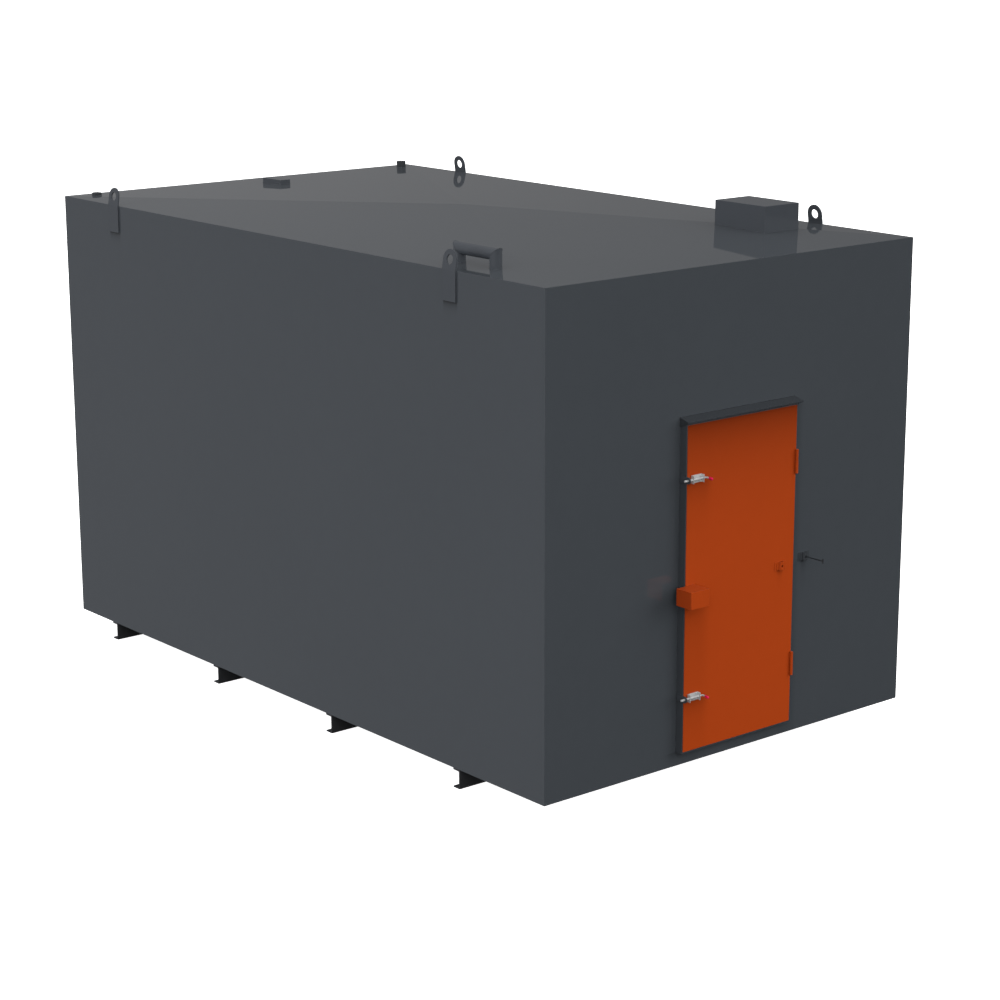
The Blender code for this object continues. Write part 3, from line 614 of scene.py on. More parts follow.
class Solid:
    """A closed mesh that is put together and then made an object."""

    def __init__(self) -> None:
        """Starts empty."""
        self.bm = bmesh.new()

    def verts(self, points: Iterable[Vector]) -> list[bmesh.types.BMVert]:
        """New corners on some points."""
        return [self.bm.verts.new(point) for point in points]

    def box(self, low: Vector, high: Vector) -> "Solid":
        """Adds a block between two corners.

        Args:
            low: one corner.
            high: the opposite corner.

        Returns:
            This solid.
        """
        placing = Matrix.Translation((low + high) / 2) @ Matrix.Diagonal((*(high - low), 1.0))
        bmesh.ops.create_cube(self.bm, size=1.0, matrix=placing)
        return self

    def swept(self, faces: list[bmesh.types.BMFace], sweep: Vector) -> "Solid":
        """Draws faces out along a vector.

        Args:
            faces: the faces.
            sweep: the vector.

        Returns:
            This solid.
        """
        grown = bmesh.ops.extrude_face_region(self.bm, geom=faces)["geom"]
        moved = [item for item in grown if isinstance(item, bmesh.types.BMVert)]
        bmesh.ops.translate(self.bm, vec=sweep, verts=moved)
        return self

    def plate(self, outline: Path, hole: Path, sweep: Vector) -> "Solid":
        """Adds a flat plate with a hole through it.

        Args:
            outline: the plate's edge.
            hole: the hole's edge.
            sweep: the way from one face to the other.

        Returns:
            This solid.
        """
        edges = []
        for loop in (outline, hole):
            edges += [self.bm.edges.new(pair) for pair in ringed(self.verts(loop))]
        filled = bmesh.ops.triangle_fill(self.bm, use_beauty=True, edges=edges, normal=sweep)["geom"]
        return self.swept([item for item in filled if isinstance(item, bmesh.types.BMFace)], sweep)

    def prism(self, outline: Iterable[Vector], sweep: Vector) -> "Solid":
        """Adds a flat outline drawn out along a vector."""
        return self.swept([self.bm.faces.new(self.verts(outline))], sweep)

    def bridge(self, here: Sequence[bmesh.types.BMVert], ahead: Sequence[bmesh.types.BMVert]) -> None:
        """Adds the skin between two equal loops of corners."""
        for (a, b), (c, d) in zip(ringed(here), ringed(ahead)):
            self.bm.faces.new([a, b, d, c])

    def rings(self, loops: Iterable[Iterable[Vector]], closed: bool) -> "Solid":
        """Adds a skin over a row of equal loops.

        Args:
            loops: the loops in order.
            closed: whether the last loop joins the first; if not, both get a face.

        Returns:
            This solid.
        """
        made = [self.verts(loop) for loop in loops]
        for here, ahead in ringed(made) if closed else zip(made, made[1:]):
            self.bridge(here, ahead)
        if not closed:
            self.bm.faces.new(made[0])
            self.bm.faces.new(made[-1])
        return self

    def turned(self, profile: Sequence[Pair], placing: Matrix, sides: int) -> "Solid":
        """Adds a turned shape from (radius, height) pairs that start and end on the axis.

        Args:
            profile: the pairs in order.
            placing: from the shape's own axis, +Z, to its place.
            sides: straight pieces round it.

        Returns:
            This solid.
        """
        loops = []
        for radius, height in profile:
            count = sides if radius > 0 else 1
            angles = [2 * math.pi * i / sides for i in range(count)]
            points = [(radius * math.cos(a), radius * math.sin(a), height) for a in angles]
            loops.append(self.verts(placing @ Vector(point) for point in points))
        for lower, upper in zip(loops, loops[1:]):
            for i, j in ringed(range(sides)):
                below, above = len(lower), len(upper)
                corners = (lower[i % below], lower[j % below], upper[j % above], upper[i % above])
                self.bm.faces.new(list(dict.fromkeys(corners)))
        return self

    def hipped(self, lift: float) -> "Solid":
        """Adds the space under the roof's surface raised by a lift, down to well below its edges.

        Args:
            lift: height over the roof's surface.

        Returns:
            This solid.
        """
        plan = ((0, 0), (TANK_WIDTH, 0), (TANK_WIDTH, TANK_LENGTH), (0, TANK_LENGTH))
        rim, foot = (
            self.verts(at(left, front, TANK_HEIGHT + rise) for left, front in plan)
            for rise in (lift, -ROOF_RISE)
        )
        peak = self.bm.verts.new(at(TANK_WIDTH / 2, TANK_LENGTH / 2, TANK_HEIGHT + ROOF_RISE + lift))
        self.bm.faces.new(foot)
        for here, ahead in ringed(rim):
            self.bm.faces.new([here, ahead, peak])
        self.bridge(foot, rim)
        return self

    def mesh(self, name: str) -> bpy.types.Mesh:
        """Ends the putting together and gives the mesh, with its faces turned outwards.

        Args:
            name: the mesh's name.

        Returns:
            The mesh.
        """
        bmesh.ops.recalc_face_normals(self.bm, faces=self.bm.faces)
        mesh = bpy.data.meshes.new(name)
        self.bm.to_mesh(mesh)
        self.bm.free()
        return mesh

    def finish(
        self,
        name: str,
        coat: Coat,
        bevel: float = 0.0,
        segments: int = 2,
        body: Body = Body.TANK,
        crease: float = CREASE,
    ) -> Piece:
        """Makes the object, with its bevel, and hangs it on a body.

        Args:
            name: the piece's name.
            coat: its finish.
            bevel: width of the bevel on sharp edges.
            segments: faces across the bevel.
            body: the body that it rides on.
            crease: angle in degrees from which an edge is shaded sharp.

        Returns:
            The new object.
        """
        bmesh.ops.remove_doubles(self.bm, verts=self.bm.verts, dist=MERGED)
        mesh = self.mesh(name)
        mesh.materials.append(coat.material)
        mesh.shade_smooth()
        mesh.set_sharp_from_angle(angle=math.radians(crease))
        piece = shown(name, mesh)
        if bevel > 0:
            modifier = piece.modifiers.new("edge", "BEVEL")
            modifier.width = bevel
            modifier.segments = segments
            modifier.limit_method = "ANGLE"
            modifier.angle_limit = math.radians(CREASE)
            modifier.harden_normals = True
        return hung(piece, coat, body)


def cut(piece: Piece, cutter: Solid) -> None:
    """Cuts a shape out of a piece, after its bevel, and keeps the result as its mesh.

    Args:
        piece: the piece that is cut.
        cutter: the shape that is taken away.
    """
    helper = shown("cutter", cutter.mesh("cutter"))
    modifier = piece.modifiers.new("hole", "BOOLEAN")
    modifier.operation = "DIFFERENCE"
    modifier.solver = "EXACT"
    modifier.object = helper
    made = applied(piece)
    piece.modifiers.clear()
    piece.data = made
    bpy.data.objects.remove(helper)


# Weld beads and screws, as geometry node trees


class RepeatTree(NodeGroup):
    """A geometry node tree that puts a small ball at every step along paths, or on every point."""

    def __init__(self, name: str, sizes: Iterable[str]) -> None:
        """Makes the tree with its named inputs.

        Args:
            name: the tree's name.
            sizes: the name of each size input.
        """
        inputs = {"Geometry": GEOMETRY, **dict.fromkeys(sizes, FLOAT), "Finish": "NodeSocketMaterial"}
        super().__init__(name, inputs, {"Geometry": GEOMETRY}, "GeometryNodeTree")

    def scatter(
        self,
        points: Socket,
        ball: dict[str, int],
        scale: dict[str, Socket],
        turning: dict[str, Socket],
    ) -> None:
        """Ends the tree: balls on the points, made real, shaded smooth, with the finish.

        Args:
            points: where the balls go.
            ball: how many segments and rings a ball has.
            scale: a ball's half size on each axis.
            turning: a ball's rotation, if it has one.
        """
        balls = self.out("GeometryNodeInstanceOnPoints", "Instances", {
            "Points": points,
            "Instance": self.out("GeometryNodeMeshUVSphere", "Mesh", {**ball, "Radius": 1.0}),
            "Scale": self.out("ShaderNodeCombineXYZ", "Vector", scale),
            **turning,
        })
        real = self.out("GeometryNodeRealizeInstances", "Geometry", {"Geometry": balls})
        smooth = self.out("GeometryNodeSetShadeSmooth", "Geometry", {"Geometry": real})
        finish = {"Geometry": smooth, "Material": self.given["Finish"]}
        self.fill(self.exit, {"Geometry": self.out("GeometryNodeSetMaterial", "Geometry", finish)})

    def run(
        self,
        name: str,
        paths: Sequence[Path],
        sizes: dict[str, float],
        coat: Coat,
        body: Body,
    ) -> None:
        """Runs the tree on paths and keeps the result as a plain piece.

        Args:
            name: the piece's name.
            paths: the paths, each a row of points; a path of one point is a lone point.
            sizes: the size inputs' values by name.
            coat: the piece's finish.
            body: the body that the piece rides on.
        """
        mesh = bpy.data.meshes.new(name)
        edges, start = [], 0
        for path in paths:
            edges += [(start + i, start + i + 1) for i in range(len(path) - 1)]
            start += len(path)
        mesh.from_pydata([point for path in paths for point in path], edges, [])
        carrier = shown(f"{name}_path", mesh)
        modifier = carrier.modifiers.new("repeat", "NODES")
        modifier.node_group = self.tree
        for label, value in {**sizes, "Finish": coat.material}.items():
            modifier[self.keys[label]] = value
        made = applied(carrier)
        made.name = name
        hung(shown(name, made), coat, body)
        bpy.data.objects.remove(carrier)


class WeldBead(RepeatTree):
    """The ripples of a weld bead, laid along paths."""

    def __init__(self) -> None:
        """Builds the tree."""
        super().__init__("weld_bead", ("Radius", "Ripple"))
        radius, ripple = self.given["Radius"], self.given["Ripple"]
        curve = self.out("GeometryNodeMeshToCurve", "Curve", {"Mesh": self.given["Geometry"]})
        steps = self.out(
            "GeometryNodeResampleCurve", "Curve", {"Curve": curve, "Length": ripple}, mode="LENGTH"
        )
        tangent = {"Vector": self.out("GeometryNodeInputTangent", "Tangent")}
        turn = self.out("FunctionNodeAlignRotationToVector", "Rotation", tangent, axis="X")
        scale = {"X": self.math("MULTIPLY", ripple, RIPPLE_LENGTH), "Y": radius, "Z": radius}
        self.scatter(steps, {"Segments": 6, "Rings": 4}, scale, {"Rotation": turn})


class ButtonScrew(RepeatTree):
    """Round-headed screws on points, with their heads towards the front."""

    def __init__(self) -> None:
        """Builds the tree."""
        super().__init__("button_screw", ("Head", "Rise"))
        head, rise = self.given["Head"], self.given["Rise"]
        points = self.out("GeometryNodeMeshToPoints", "Points", {"Mesh": self.given["Geometry"]})
        self.scatter(points, {"Segments": 20, "Rings": 10}, {"X": head, "Y": rise, "Z": head}, {})


@dataclass
class Shop:
    """The repeating details that the sub-assemblies share."""

    weld: WeldBead = field(default_factory=WeldBead)
    screw: ButtonScrew = field(default_factory=ButtonScrew)

    def bead(
        self,
        name: str,
        paths: Sequence[Path],
        coat: Coat,
        radius: float,
        body: Body = Body.TANK,
        pitch: float = BEAD_PITCH,
    ) -> None:
        """Lays weld beads of one size.

        Args:
            name: the piece's name.
            paths: the beads' centre lines.
            coat: the paint over them.
            radius: the bead's half width.
            body: the body that they ride on.
            pitch: the ripples' spacing, in radii.
        """
        self.weld.run(name, paths, {"Radius": radius, "Ripple": radius * pitch}, coat, body)


# Sub-assemblies


@dataclass
class Shell:
    """The welded box: walls, roof and floor as one skin of plate, with the doorway cut through."""

    wall: float = 0.005
    floor: float = 0.006
    edge: float = 0.0010
    doorway_left: float = 0.8825
    doorway_right: float = 1.554
    doorway_base: float = 0.112
    doorway_top: float = 1.679
    bead: float = 0.004
    bead_pitch: float = 1.8
    bead_off: float = 0.0006
    bead_gap: float = 2.5
    crease: float = 1.0

    def build(self, shop: Shop) -> None:
        """Builds the skin and the weld beads in its inner corners.

        Args:
            shop: the weld beads and screws.
        """
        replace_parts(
            self.skin(), "floor_plate", "roof_plate", "side_wall_left", "side_wall_right", "rear_wall",
            "front_wall_left", "front_wall_right", "front_wall_over_door", "front_wall_under_door",
        )
        self.inner_beads(shop)

    def skin(self) -> Piece:
        """The box with its inside and the doorway.

        Returns:
            The new piece.
        """
        solid = Solid()
        t = self.wall
        left, right, base, top = self.doorway_left, self.doorway_right, self.doorway_base, self.doorway_top
        doorway = ((left, base), (right, base), (right, top), (left, top))
        doors = []
        for lefts, fronts, bases in (
            ((0, TANK_WIDTH), (0, TANK_LENGTH), (0, TANK_HEIGHT)),
            ((t, TANK_WIDTH - t), (t, TANK_LENGTH - t), (self.floor, TANK_HEIGHT - t)),
        ):
            keys = [(i, j, k) for i in (0, 1) for j in (0, 1) for k in (0, 1)]
            corner = dict(zip(keys, solid.verts(at(lefts[i], fronts[j], bases[k]) for i, j, k in keys)))
            doors.append(solid.verts(at(left, fronts[0], base) for left, base in doorway))
            for face in (
                ((0, 0, 0), (0, 1, 0), (0, 1, 1), (0, 0, 1)),
                ((1, 0, 0), (1, 1, 0), (1, 1, 1), (1, 0, 1)),
                ((0, 1, 0), (1, 1, 0), (1, 1, 1), (0, 1, 1)),
                ((0, 0, 0), (1, 0, 0), (1, 1, 0), (0, 1, 0)),
            ):
                solid.bm.faces.new([corner[key] for key in face])
            peak = solid.bm.verts.new(at(TANK_WIDTH / 2, TANK_LENGTH / 2, bases[1] + ROOF_RISE))
            eaves = [corner[key] for key in ((0, 0, 1), (1, 0, 1), (1, 1, 1), (0, 1, 1))]
            for here, ahead in ringed(eaves):
                solid.bm.faces.new([here, ahead, peak])
            solid.bridge([corner[key] for key in ((0, 0, 0), (1, 0, 0), (1, 0, 1), (0, 0, 1))], doors[-1])
        solid.bridge(*doors)
        return solid.finish("tank_shell", Coat.SHELL, self.edge, crease=self.crease)

    def inner_beads(self, shop: Shop) -> None:
        """Weld beads along the inside corners.

        Args:
            shop: the weld beads and screws.
        """
        t = self.wall + self.bead_off
        end = t + self.bead_gap * self.bead
        lefts = (t, TANK_WIDTH - t)
        fronts = (t, TANK_LENGTH - t)
        paths = []
        for base in (self.floor + self.bead_off, TANK_HEIGHT - t):
            paths += [[at(left, end, base), at(left, TANK_LENGTH - end, base)] for left in lefts]
            paths += [[at(end, front, base), at(TANK_WIDTH - end, front, base)] for front in fronts]
        for left in lefts:
            paths += [[at(left, front, end), at(left, front, TANK_HEIGHT - end)] for front in fronts]
        shop.bead("shell_inner_welds", paths, Coat.SHELL, self.bead, pitch=self.bead_pitch)


@dataclass
class Bearers:
    """Four rolled channels under the tank, with round roots and toes and stitch welds."""

    flange: float = 0.050
    web: float = 0.006
    thick: float = 0.0085
    root: float = 0.006
    toe: float = 0.004
    tip: float = 0.0008
    heel: float = 0.0012
    round_steps: int = 5
    edge: float = 0.0006
    first: float = 0.633
    spacing: float = 1.0603
    names: tuple[str, ...] = ("bearer_front", "bearer_front_middle", "bearer_rear_middle", "bearer_rear")
    stitch: float = 0.060
    stitch_pitch: float = 0.260
    stitch_end: float = 0.03
    bead: float = 0.0018
    bead_off: float = 0.0008
    bead_drop: float = 0.0012

    def build(self, shop: Shop) -> None:
        """Builds each channel and the welds that hold it to the floor.

        Args:
            shop: the weld beads and screws.
        """
        top = BEARER_HEIGHT - SEAM
        corners = (
            (0, 0), (self.flange, 0), (self.flange, self.thick), (self.web, self.thick),
            (self.web, top - self.thick), (self.flange, top - self.thick), (self.flange, top), (0, top),
        )
        radii = (self.heel, self.tip, self.toe, self.root, self.root, self.toe, self.tip, self.heel)
        section = rounded(corners, radii, self.round_steps)
        count = int(TANK_WIDTH / self.stitch_pitch)
        room = TANK_WIDTH - 2 * self.stitch_end - self.stitch
        paths = []
        for i, name in enumerate(self.names):
            front = self.first + i * self.spacing
            outline = [at(0, front + run, rise - BEARER_HEIGHT) for run, rise in section]
            solid = Solid().prism(outline, TANK_WIDTH * RIGHT)
            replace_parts(solid.finish(f"{name}_channel", Coat.BEARER, self.edge, 1), name)
            for k in range(count + 1):
                start = self.stitch_end + k * room / count
                for run in (front - self.bead_off, front + self.flange + self.bead_off):
                    paths.append([at(left, run, -self.bead_drop) for left in (start, start + self.stitch)])
        shop.bead("bearer_welds", paths, Coat.BEARER, self.bead)


@dataclass
class LiftingLugs:
    """Lugs with a round head and an eye, welded to the side walls and bent inwards over the roof."""

    half: float = 0.0493
    drop: float = 0.1473
    rise: float = 0.0971
    plate: float = 0.008
    eye: float = 0.024
    foot_round: float = 0.003
    round_steps: int = 3
    head_steps: int = 40
    eye_sides: int = 48
    edge: float = 0.0008
    bend: float = math.radians(8.5)
    bend_half: float = 0.012
    bend_steps: int = 5
    bead: float = 0.0015
    bead_beside: float = 0.0004
    bead_out: float = 0.0006
    bead_top: float = -0.006
    fronts: dict[str, float] = field(default_factory=lambda: {"front": 0.6805, "rear": 3.6625})

    def build(self, shop: Shop) -> None:
        """Builds the four lugs and their welds.

        Args:
            shop: the weld beads and screws.
        """
        paths = []
        run = self.half + self.bead_beside
        edge = ((-run, self.bead_top), (-run, -self.drop), (run, -self.drop), (run, self.bead_top))
        for place, front in self.fronts.items():
            for side, left, inward in (("left", -SEAM, 1), ("right", TANK_WIDTH + SEAM, -1)):
                origin = at(left, front, TANK_HEIGHT)
                piece = self.lug(f"lug_{place}_{side}", origin, inward)
                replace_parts(piece, f"lifting_lug_{place}_{side}")
                out = -inward * self.bead_out
                paths.append([origin + Vector((out, along, rise)) for along, rise in edge])
        shop.bead("lug_welds", paths, Coat.FITTING, self.bead)

    def lug(self, name: str, origin: Vector, inward: int) -> Piece:
        """One lug: drawn flat, with rows of edges where it bends, and then bent.

        Args:
            name: the piece's name.
            origin: where the bend crosses the middle of the inner face.
            inward: 1 where inwards is +X, else -1.

        Returns:
            The new piece.
        """
        head = self.rise - self.half
        foot = ((-self.half, -self.drop), (self.half, -self.drop), (self.half, 0), (-self.half, 0))
        # The foot's two rounded corners, without the two upper ones.
        edge = rounded(foot, (self.foot_round, self.foot_round, 0, 0), self.round_steps)[:-2]
        edge += outline_arc((0, head), self.half, 0, 180, self.head_steps)
        eye = outline_circle((0, head), self.eye, self.eye_sides)
        flat = [[Vector((0, run, rise)) for run, rise in loop] for loop in (edge, eye)]
        solid = Solid().plate(*flat, self.plate * RIGHT)
        for i in range(self.bend_steps):
            height = self.bend_half * (2 * i / (self.bend_steps - 1) - 1)
            parts = solid.bm.verts[:] + solid.bm.edges[:] + solid.bm.faces[:]
            bmesh.ops.bisect_plane(solid.bm, geom=parts, plane_co=(0, 0, height), plane_no=UP)
        for vert in solid.bm.verts:
            depth, run, rise = vert.co
            vert.co = origin + self.bent(run, rise, depth, inward)
        return solid.finish(name, Coat.FITTING, self.edge)

    def bent(self, run: float, rise: float, depth: float, inward: int) -> Vector:
        """Where a point of the flat lug goes when the plate is bent.

        Args:
            run: distance along the wall.
            rise: distance along the plate from the middle of the bend.
            depth: distance outwards from the inner face.
            inward: 1 where inwards is +X, else -1.

        Returns:
            The point from the middle of the bend.
        """
        share = min(max((rise + self.bend_half) / (2 * self.bend_half), 0.0), 1.0)
        angle = self.bend * share
        radius = 2 * self.bend_half / self.bend
        beyond = max(rise - self.bend_half, 0.0)
        below = min(rise + self.bend_half, 0.0)
        sine, cosine = math.sin(angle), math.cos(angle)
        across = radius * (1 - cosine) + beyond * sine - depth * cosine
        height = below - self.bend_half + radius * sine + beyond * cosine + depth * sine
        return Vector((inward * across, run, height))


@dataclass
class Doorway:
    """The folded frame round the doorway, its rain hood and the bolts' catch plates."""

    left: float = 0.8425
    right: float = 1.5940
    base: float = 0.072
    top: float = 1.719
    bar: float = 0.040
    sheet: float = 0.004
    face: float = 0.0467
    fold: float = 0.0025
    fold_steps: int = 4
    hood_left: float = 0.8375
    hood_right: float = 1.6175
    hood_reach: float = 0.060
    hood_wall_top: float = 1.745
    hood_lip_top: float = 1.729
    hood_lip_foot: float = 1.7225
    hood_cheek: float = 1.6975
    hood_sheet: float = 0.003
    hood_edge: float = 0.0009
    catch_plate: float = 0.005
    catch_root: float = 0.010
    catch_half: float = 0.017
    catch_hole: float = 0.0065
    catch_steps: int = 28
    hole_sides: int = 36
    catch_edge: float = 0.0008
    bolt_reach: float = 0.0125
    bead: float = 0.0012
    bead_off: float = 0.001
    catch_bead_off: float = 0.0008
    catch_bead_end: float = 0.003

    def build(self, shop: Shop) -> None:
        """Builds the frame, the hood, the catches and their welds.

        Args:
            shop: the weld beads and screws.
        """
        self.frame_bars()
        self.hood()
        self.catches()
        self.welds(shop)

    def frame_bars(self) -> None:
        """The frame: one folded profile carried round the doorway with mitred corners."""
        bar, face, sheet, fold = self.bar, self.face, self.sheet, self.fold
        corners = (
            (0, SEAM), (0, face), (bar, face), (bar, SEAM),
            (bar - sheet, SEAM), (bar - sheet, face - sheet), (sheet, face - sheet), (sheet, SEAM),
        )
        profile = rounded(corners, (0, fold, fold, 0, 0, 0, 0, 0), self.fold_steps)
        loops = [
            [at(left + side * u, -d, base + rise * u) for u, d in profile]
            for left, base, side, rise in (
                (self.left, self.base, 1, 1), (self.left, self.top, 1, -1),
                (self.right, self.top, -1, -1), (self.right, self.base, -1, 1),
            )
        ]
        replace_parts(Solid().rings(loops, closed=True).finish("door_frame_folded", Coat.FRAME), "door_frame")

    def hood(self) -> None:
        """The sloping hood with its front lip and its cheeks, as sheet of one thickness."""
        t = self.hood_sheet
        slope = (self.hood_wall_top - self.hood_lip_top) / self.hood_reach
        outer = (
            (-SEAM, self.hood_wall_top), (-self.hood_reach, self.hood_lip_top),
            (-self.hood_reach, self.hood_lip_foot), (-SEAM, self.hood_cheek),
        )
        inner = (
            (PAST, self.hood_wall_top - t + slope * PAST),
            (t - self.hood_reach, self.hood_lip_top - t + slope * t),
            (t - self.hood_reach, self.hood_cheek - PAST), (PAST, self.hood_cheek - PAST),
        )
        width = self.hood_right - self.hood_left
        whole = Solid().prism([at(self.hood_left, run, base) for run, base in outer], width * RIGHT)
        piece = whole.finish("door_hood_folded", Coat.HOOD, self.hood_edge)
        hollow = [at(self.hood_left + t, run, base) for run, base in inner]
        cut(piece, Solid().prism(hollow, (width - 2 * t) * RIGHT))
        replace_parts(piece, "door_hood")

    def catches(self) -> None:
        """Round-nosed plates with a hole for the bolt, on the frame's left side."""
        axis = LEAF_FACE + self.bolt_reach
        left = self.left - SEAM - self.catch_plate
        edge = [(-self.catch_root, self.catch_half), (-self.catch_root, -self.catch_half)]
        edge += outline_arc((-axis, 0), self.catch_half, 270, 90, self.catch_steps)
        hole = outline_circle((-axis, 0), self.catch_hole, self.hole_sides)
        for height in Height:
            loops = [[at(left, run, height.value + rise) for run, rise in loop] for loop in (edge, hole)]
            plate = Solid().plate(*loops, self.catch_plate * RIGHT)
            piece = plate.finish(f"bolt_catch_{height.place}_plate", Coat.FITTING, self.catch_edge)
            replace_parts(piece, f"bolt_catch_{height.place}")

    def welds(self, shop: Shop) -> None:
        """Beads where the frame, the hood and the catches meet what carries them.

        Args:
            shop: the weld beads and screws.
        """
        off = self.bead_off
        left, right = self.left - off, self.right + off
        base, top = self.base - off, self.top + off
        ring = [at(left, -off, base), at(left, -off, top), at(right, -off, top), at(right, -off, base)]
        hood = [at(side, -off, self.hood_wall_top + off) for side in (self.hood_left, self.hood_right)]
        paths = [ring + ring[:1], hood]
        side = self.left - self.catch_bead_off
        for height in Height:
            for rise in (self.catch_half + self.catch_bead_off, -self.catch_half - self.catch_bead_off):
                fronts = (-self.catch_root, -self.face + self.catch_bead_end)
                paths.append([at(side, front, height.value + rise) for front in fronts])
        shop.bead("doorway_welds", paths, Coat.FITTING, self.bead)


@dataclass
class DoorLeaf:
    """The orange leaf with its folded tray, lift-off hinges and lock box."""

    left: float = 0.8456
    right: float = 1.5838
    base: float = 0.083
    top: float = 1.7115
    sheet: float = 0.003
    edge: float = 0.0008
    tray_left: float = 0.8975
    tray_right: float = 1.5390
    tray_base: float = 0.127
    tray_top: float = 1.664
    tray_depth: float = 0.025
    cross_ribs: Pair = (0.645, 1.150)
    barrel: float = 0.008
    barrel_soft: float = 0.0008
    barrel_length: float = 0.122
    barrel_in: float = 0.0022
    barrel_sides: int = 48
    barrel_bases: dict[str, float] = field(default_factory=lambda: {"upper": 1.3685, "lower": 0.327})
    pin: float = 0.004
    pin_length: float = 0.040
    wing_left: float = 0.0044
    wing_right: float = 0.0099
    wing_back: float = -0.0470
    wing_short: float = 0.0005
    box_left: float = 0.7856
    box_right: float = 0.9045
    box_base: float = 0.8402
    box_top: float = 0.9253
    box_fold: float = 0.003
    box_steps: int = 5
    box_edge: float = 0.0009
    box_segments: int = 3
    bead_off: float = 0.0008
    hinge_bead: float = 0.0018
    hinge_bead_in: float = 0.0035
    hinge_bead_start: float = 0.004
    box_bead: float = 0.0016
    box_bead_end: float = 0.002

    def build(self, shop: Shop) -> None:
        """Builds the leaf and everything painted with it.

        Args:
            shop: the weld beads and screws.
        """
        self.leaf()
        self.hinges(shop)
        self.lock_box(shop)

    def leaf(self) -> None:
        """The sheet and the ribs behind it."""
        t = self.sheet
        back = -(LEAF_FACE - t)
        solid = Solid().box(at(self.left, -LEAF_FACE, self.base), at(self.right, back, self.top))
        inside = (self.tray_left + t, self.tray_right - t)
        ribs = [
            ((self.tray_left, self.tray_left + t), (self.tray_base, self.tray_top)),
            ((self.tray_right - t, self.tray_right), (self.tray_base, self.tray_top)),
            (inside, (self.tray_base, self.tray_base + t)),
            (inside, (self.tray_top - t, self.tray_top)),
        ]
        ribs += [(inside, (rib, rib + t)) for rib in self.cross_ribs]
        for (left, right), (base, top) in ribs:
            solid.box(at(left, back, base), at(right, back + self.tray_depth, top))
        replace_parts(solid.finish("door_leaf_sheet", Coat.ORANGE, self.edge, body=Body.DOOR), "door_leaf")

    def hinges(self, shop: Shop) -> None:
        """Plain barrels in two halves, the lower one with the pin.

        Args:
            shop: the weld beads and screws.
        """
        left = self.right - self.barrel_in
        front = -(LEAF_FACE + SEAM + self.barrel)
        half = (self.barrel_length - SEAM) / 2
        soft, r, pin = self.barrel_soft, self.barrel, self.pin
        tip = half + self.pin_length
        bore, depth = pin + SEAM, self.pin_length + SEAM
        fixed = [
            (0, 0), (r - soft, 0), (r, soft), (r, half - soft), (r - soft, half),
            (pin, half), (pin, tip - soft), (pin - soft, tip), (0, tip),
        ]
        moving = [
            (0, depth), (bore, depth), (bore, 0), (r - soft, 0), (r, soft),
            (r, half - soft), (r - soft, half), (0, half),
        ]
        paths = []
        for place, base in self.barrel_bases.items():
            solid = Solid().turned(fixed, Matrix.Translation(at(left, front, base)), self.barrel_sides)
            solid.box(
                at(left + self.wing_left, front, base + self.wing_short),
                at(self.right + self.wing_right, self.wing_back, base + half - self.wing_short),
            )
            lower = solid.finish(f"hinge_{place}_lower_barrel", Coat.ORANGE)
            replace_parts(lower, f"hinge_{place}_frame_half")
            foot = Matrix.Translation(at(left, front, base + half + SEAM))
            solid = Solid().turned(moving, foot, self.barrel_sides)
            upper = solid.finish(f"hinge_{place}_upper_barrel", Coat.ORANGE, body=Body.DOOR)
            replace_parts(upper, f"hinge_{place}_door_half")
            side = left - self.hinge_bead_in
            ends = (base + half + self.hinge_bead_start, base + 2 * half)
            paths.append([at(side, -LEAF_FACE - self.bead_off, end) for end in ends])
        shop.bead("hinge_welds", paths, Coat.ORANGE, self.hinge_bead, Body.DOOR)

    def lock_box(self, shop: Shop) -> None:
        """The shroud over the lock: folded sheet with round edges, open below and behind.

        Args:
            shop: the weld beads and screws.
        """
        t, r, steps = self.sheet, self.box_fold, self.box_steps
        left, right, top = self.box_left, self.box_right, self.box_top
        back = -(LEAF_FACE + SEAM)
        front = back - LOCK_BOX_DEPTH
        corners = ((left, back), (left, front), (right, front), (right, back))
        outer = rounded(corners, (0, r, r, 0), steps)
        corners = ((right - t, back), (right - t, front + t), (left + t, front + t), (left + t, back))
        inner = rounded(corners, (0, r / 3, r / 3, 0), steps)
        solid = Solid()
        solid.prism([at(u, run, self.box_base) for u, run in outer + inner], (top - t - self.box_base) * UP)
        solid.prism([at(u, run, top - t) for u, run in outer], t * UP)
        piece = solid.finish(
            "lock_box_folded", Coat.ORANGE, self.box_edge, self.box_segments, Body.DOOR
        )
        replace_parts(piece, "lock_box")
        off = self.bead_off
        side, upper = right + off, top + off
        corners = ((side, self.box_base), (side, upper), (self.left + self.box_bead_end, upper))
        path = [at(u, back + SEAM - off, base) for u, base in corners]
        shop.bead("lock_box_welds", [path], Coat.ORANGE, self.box_bead, Body.DOOR)


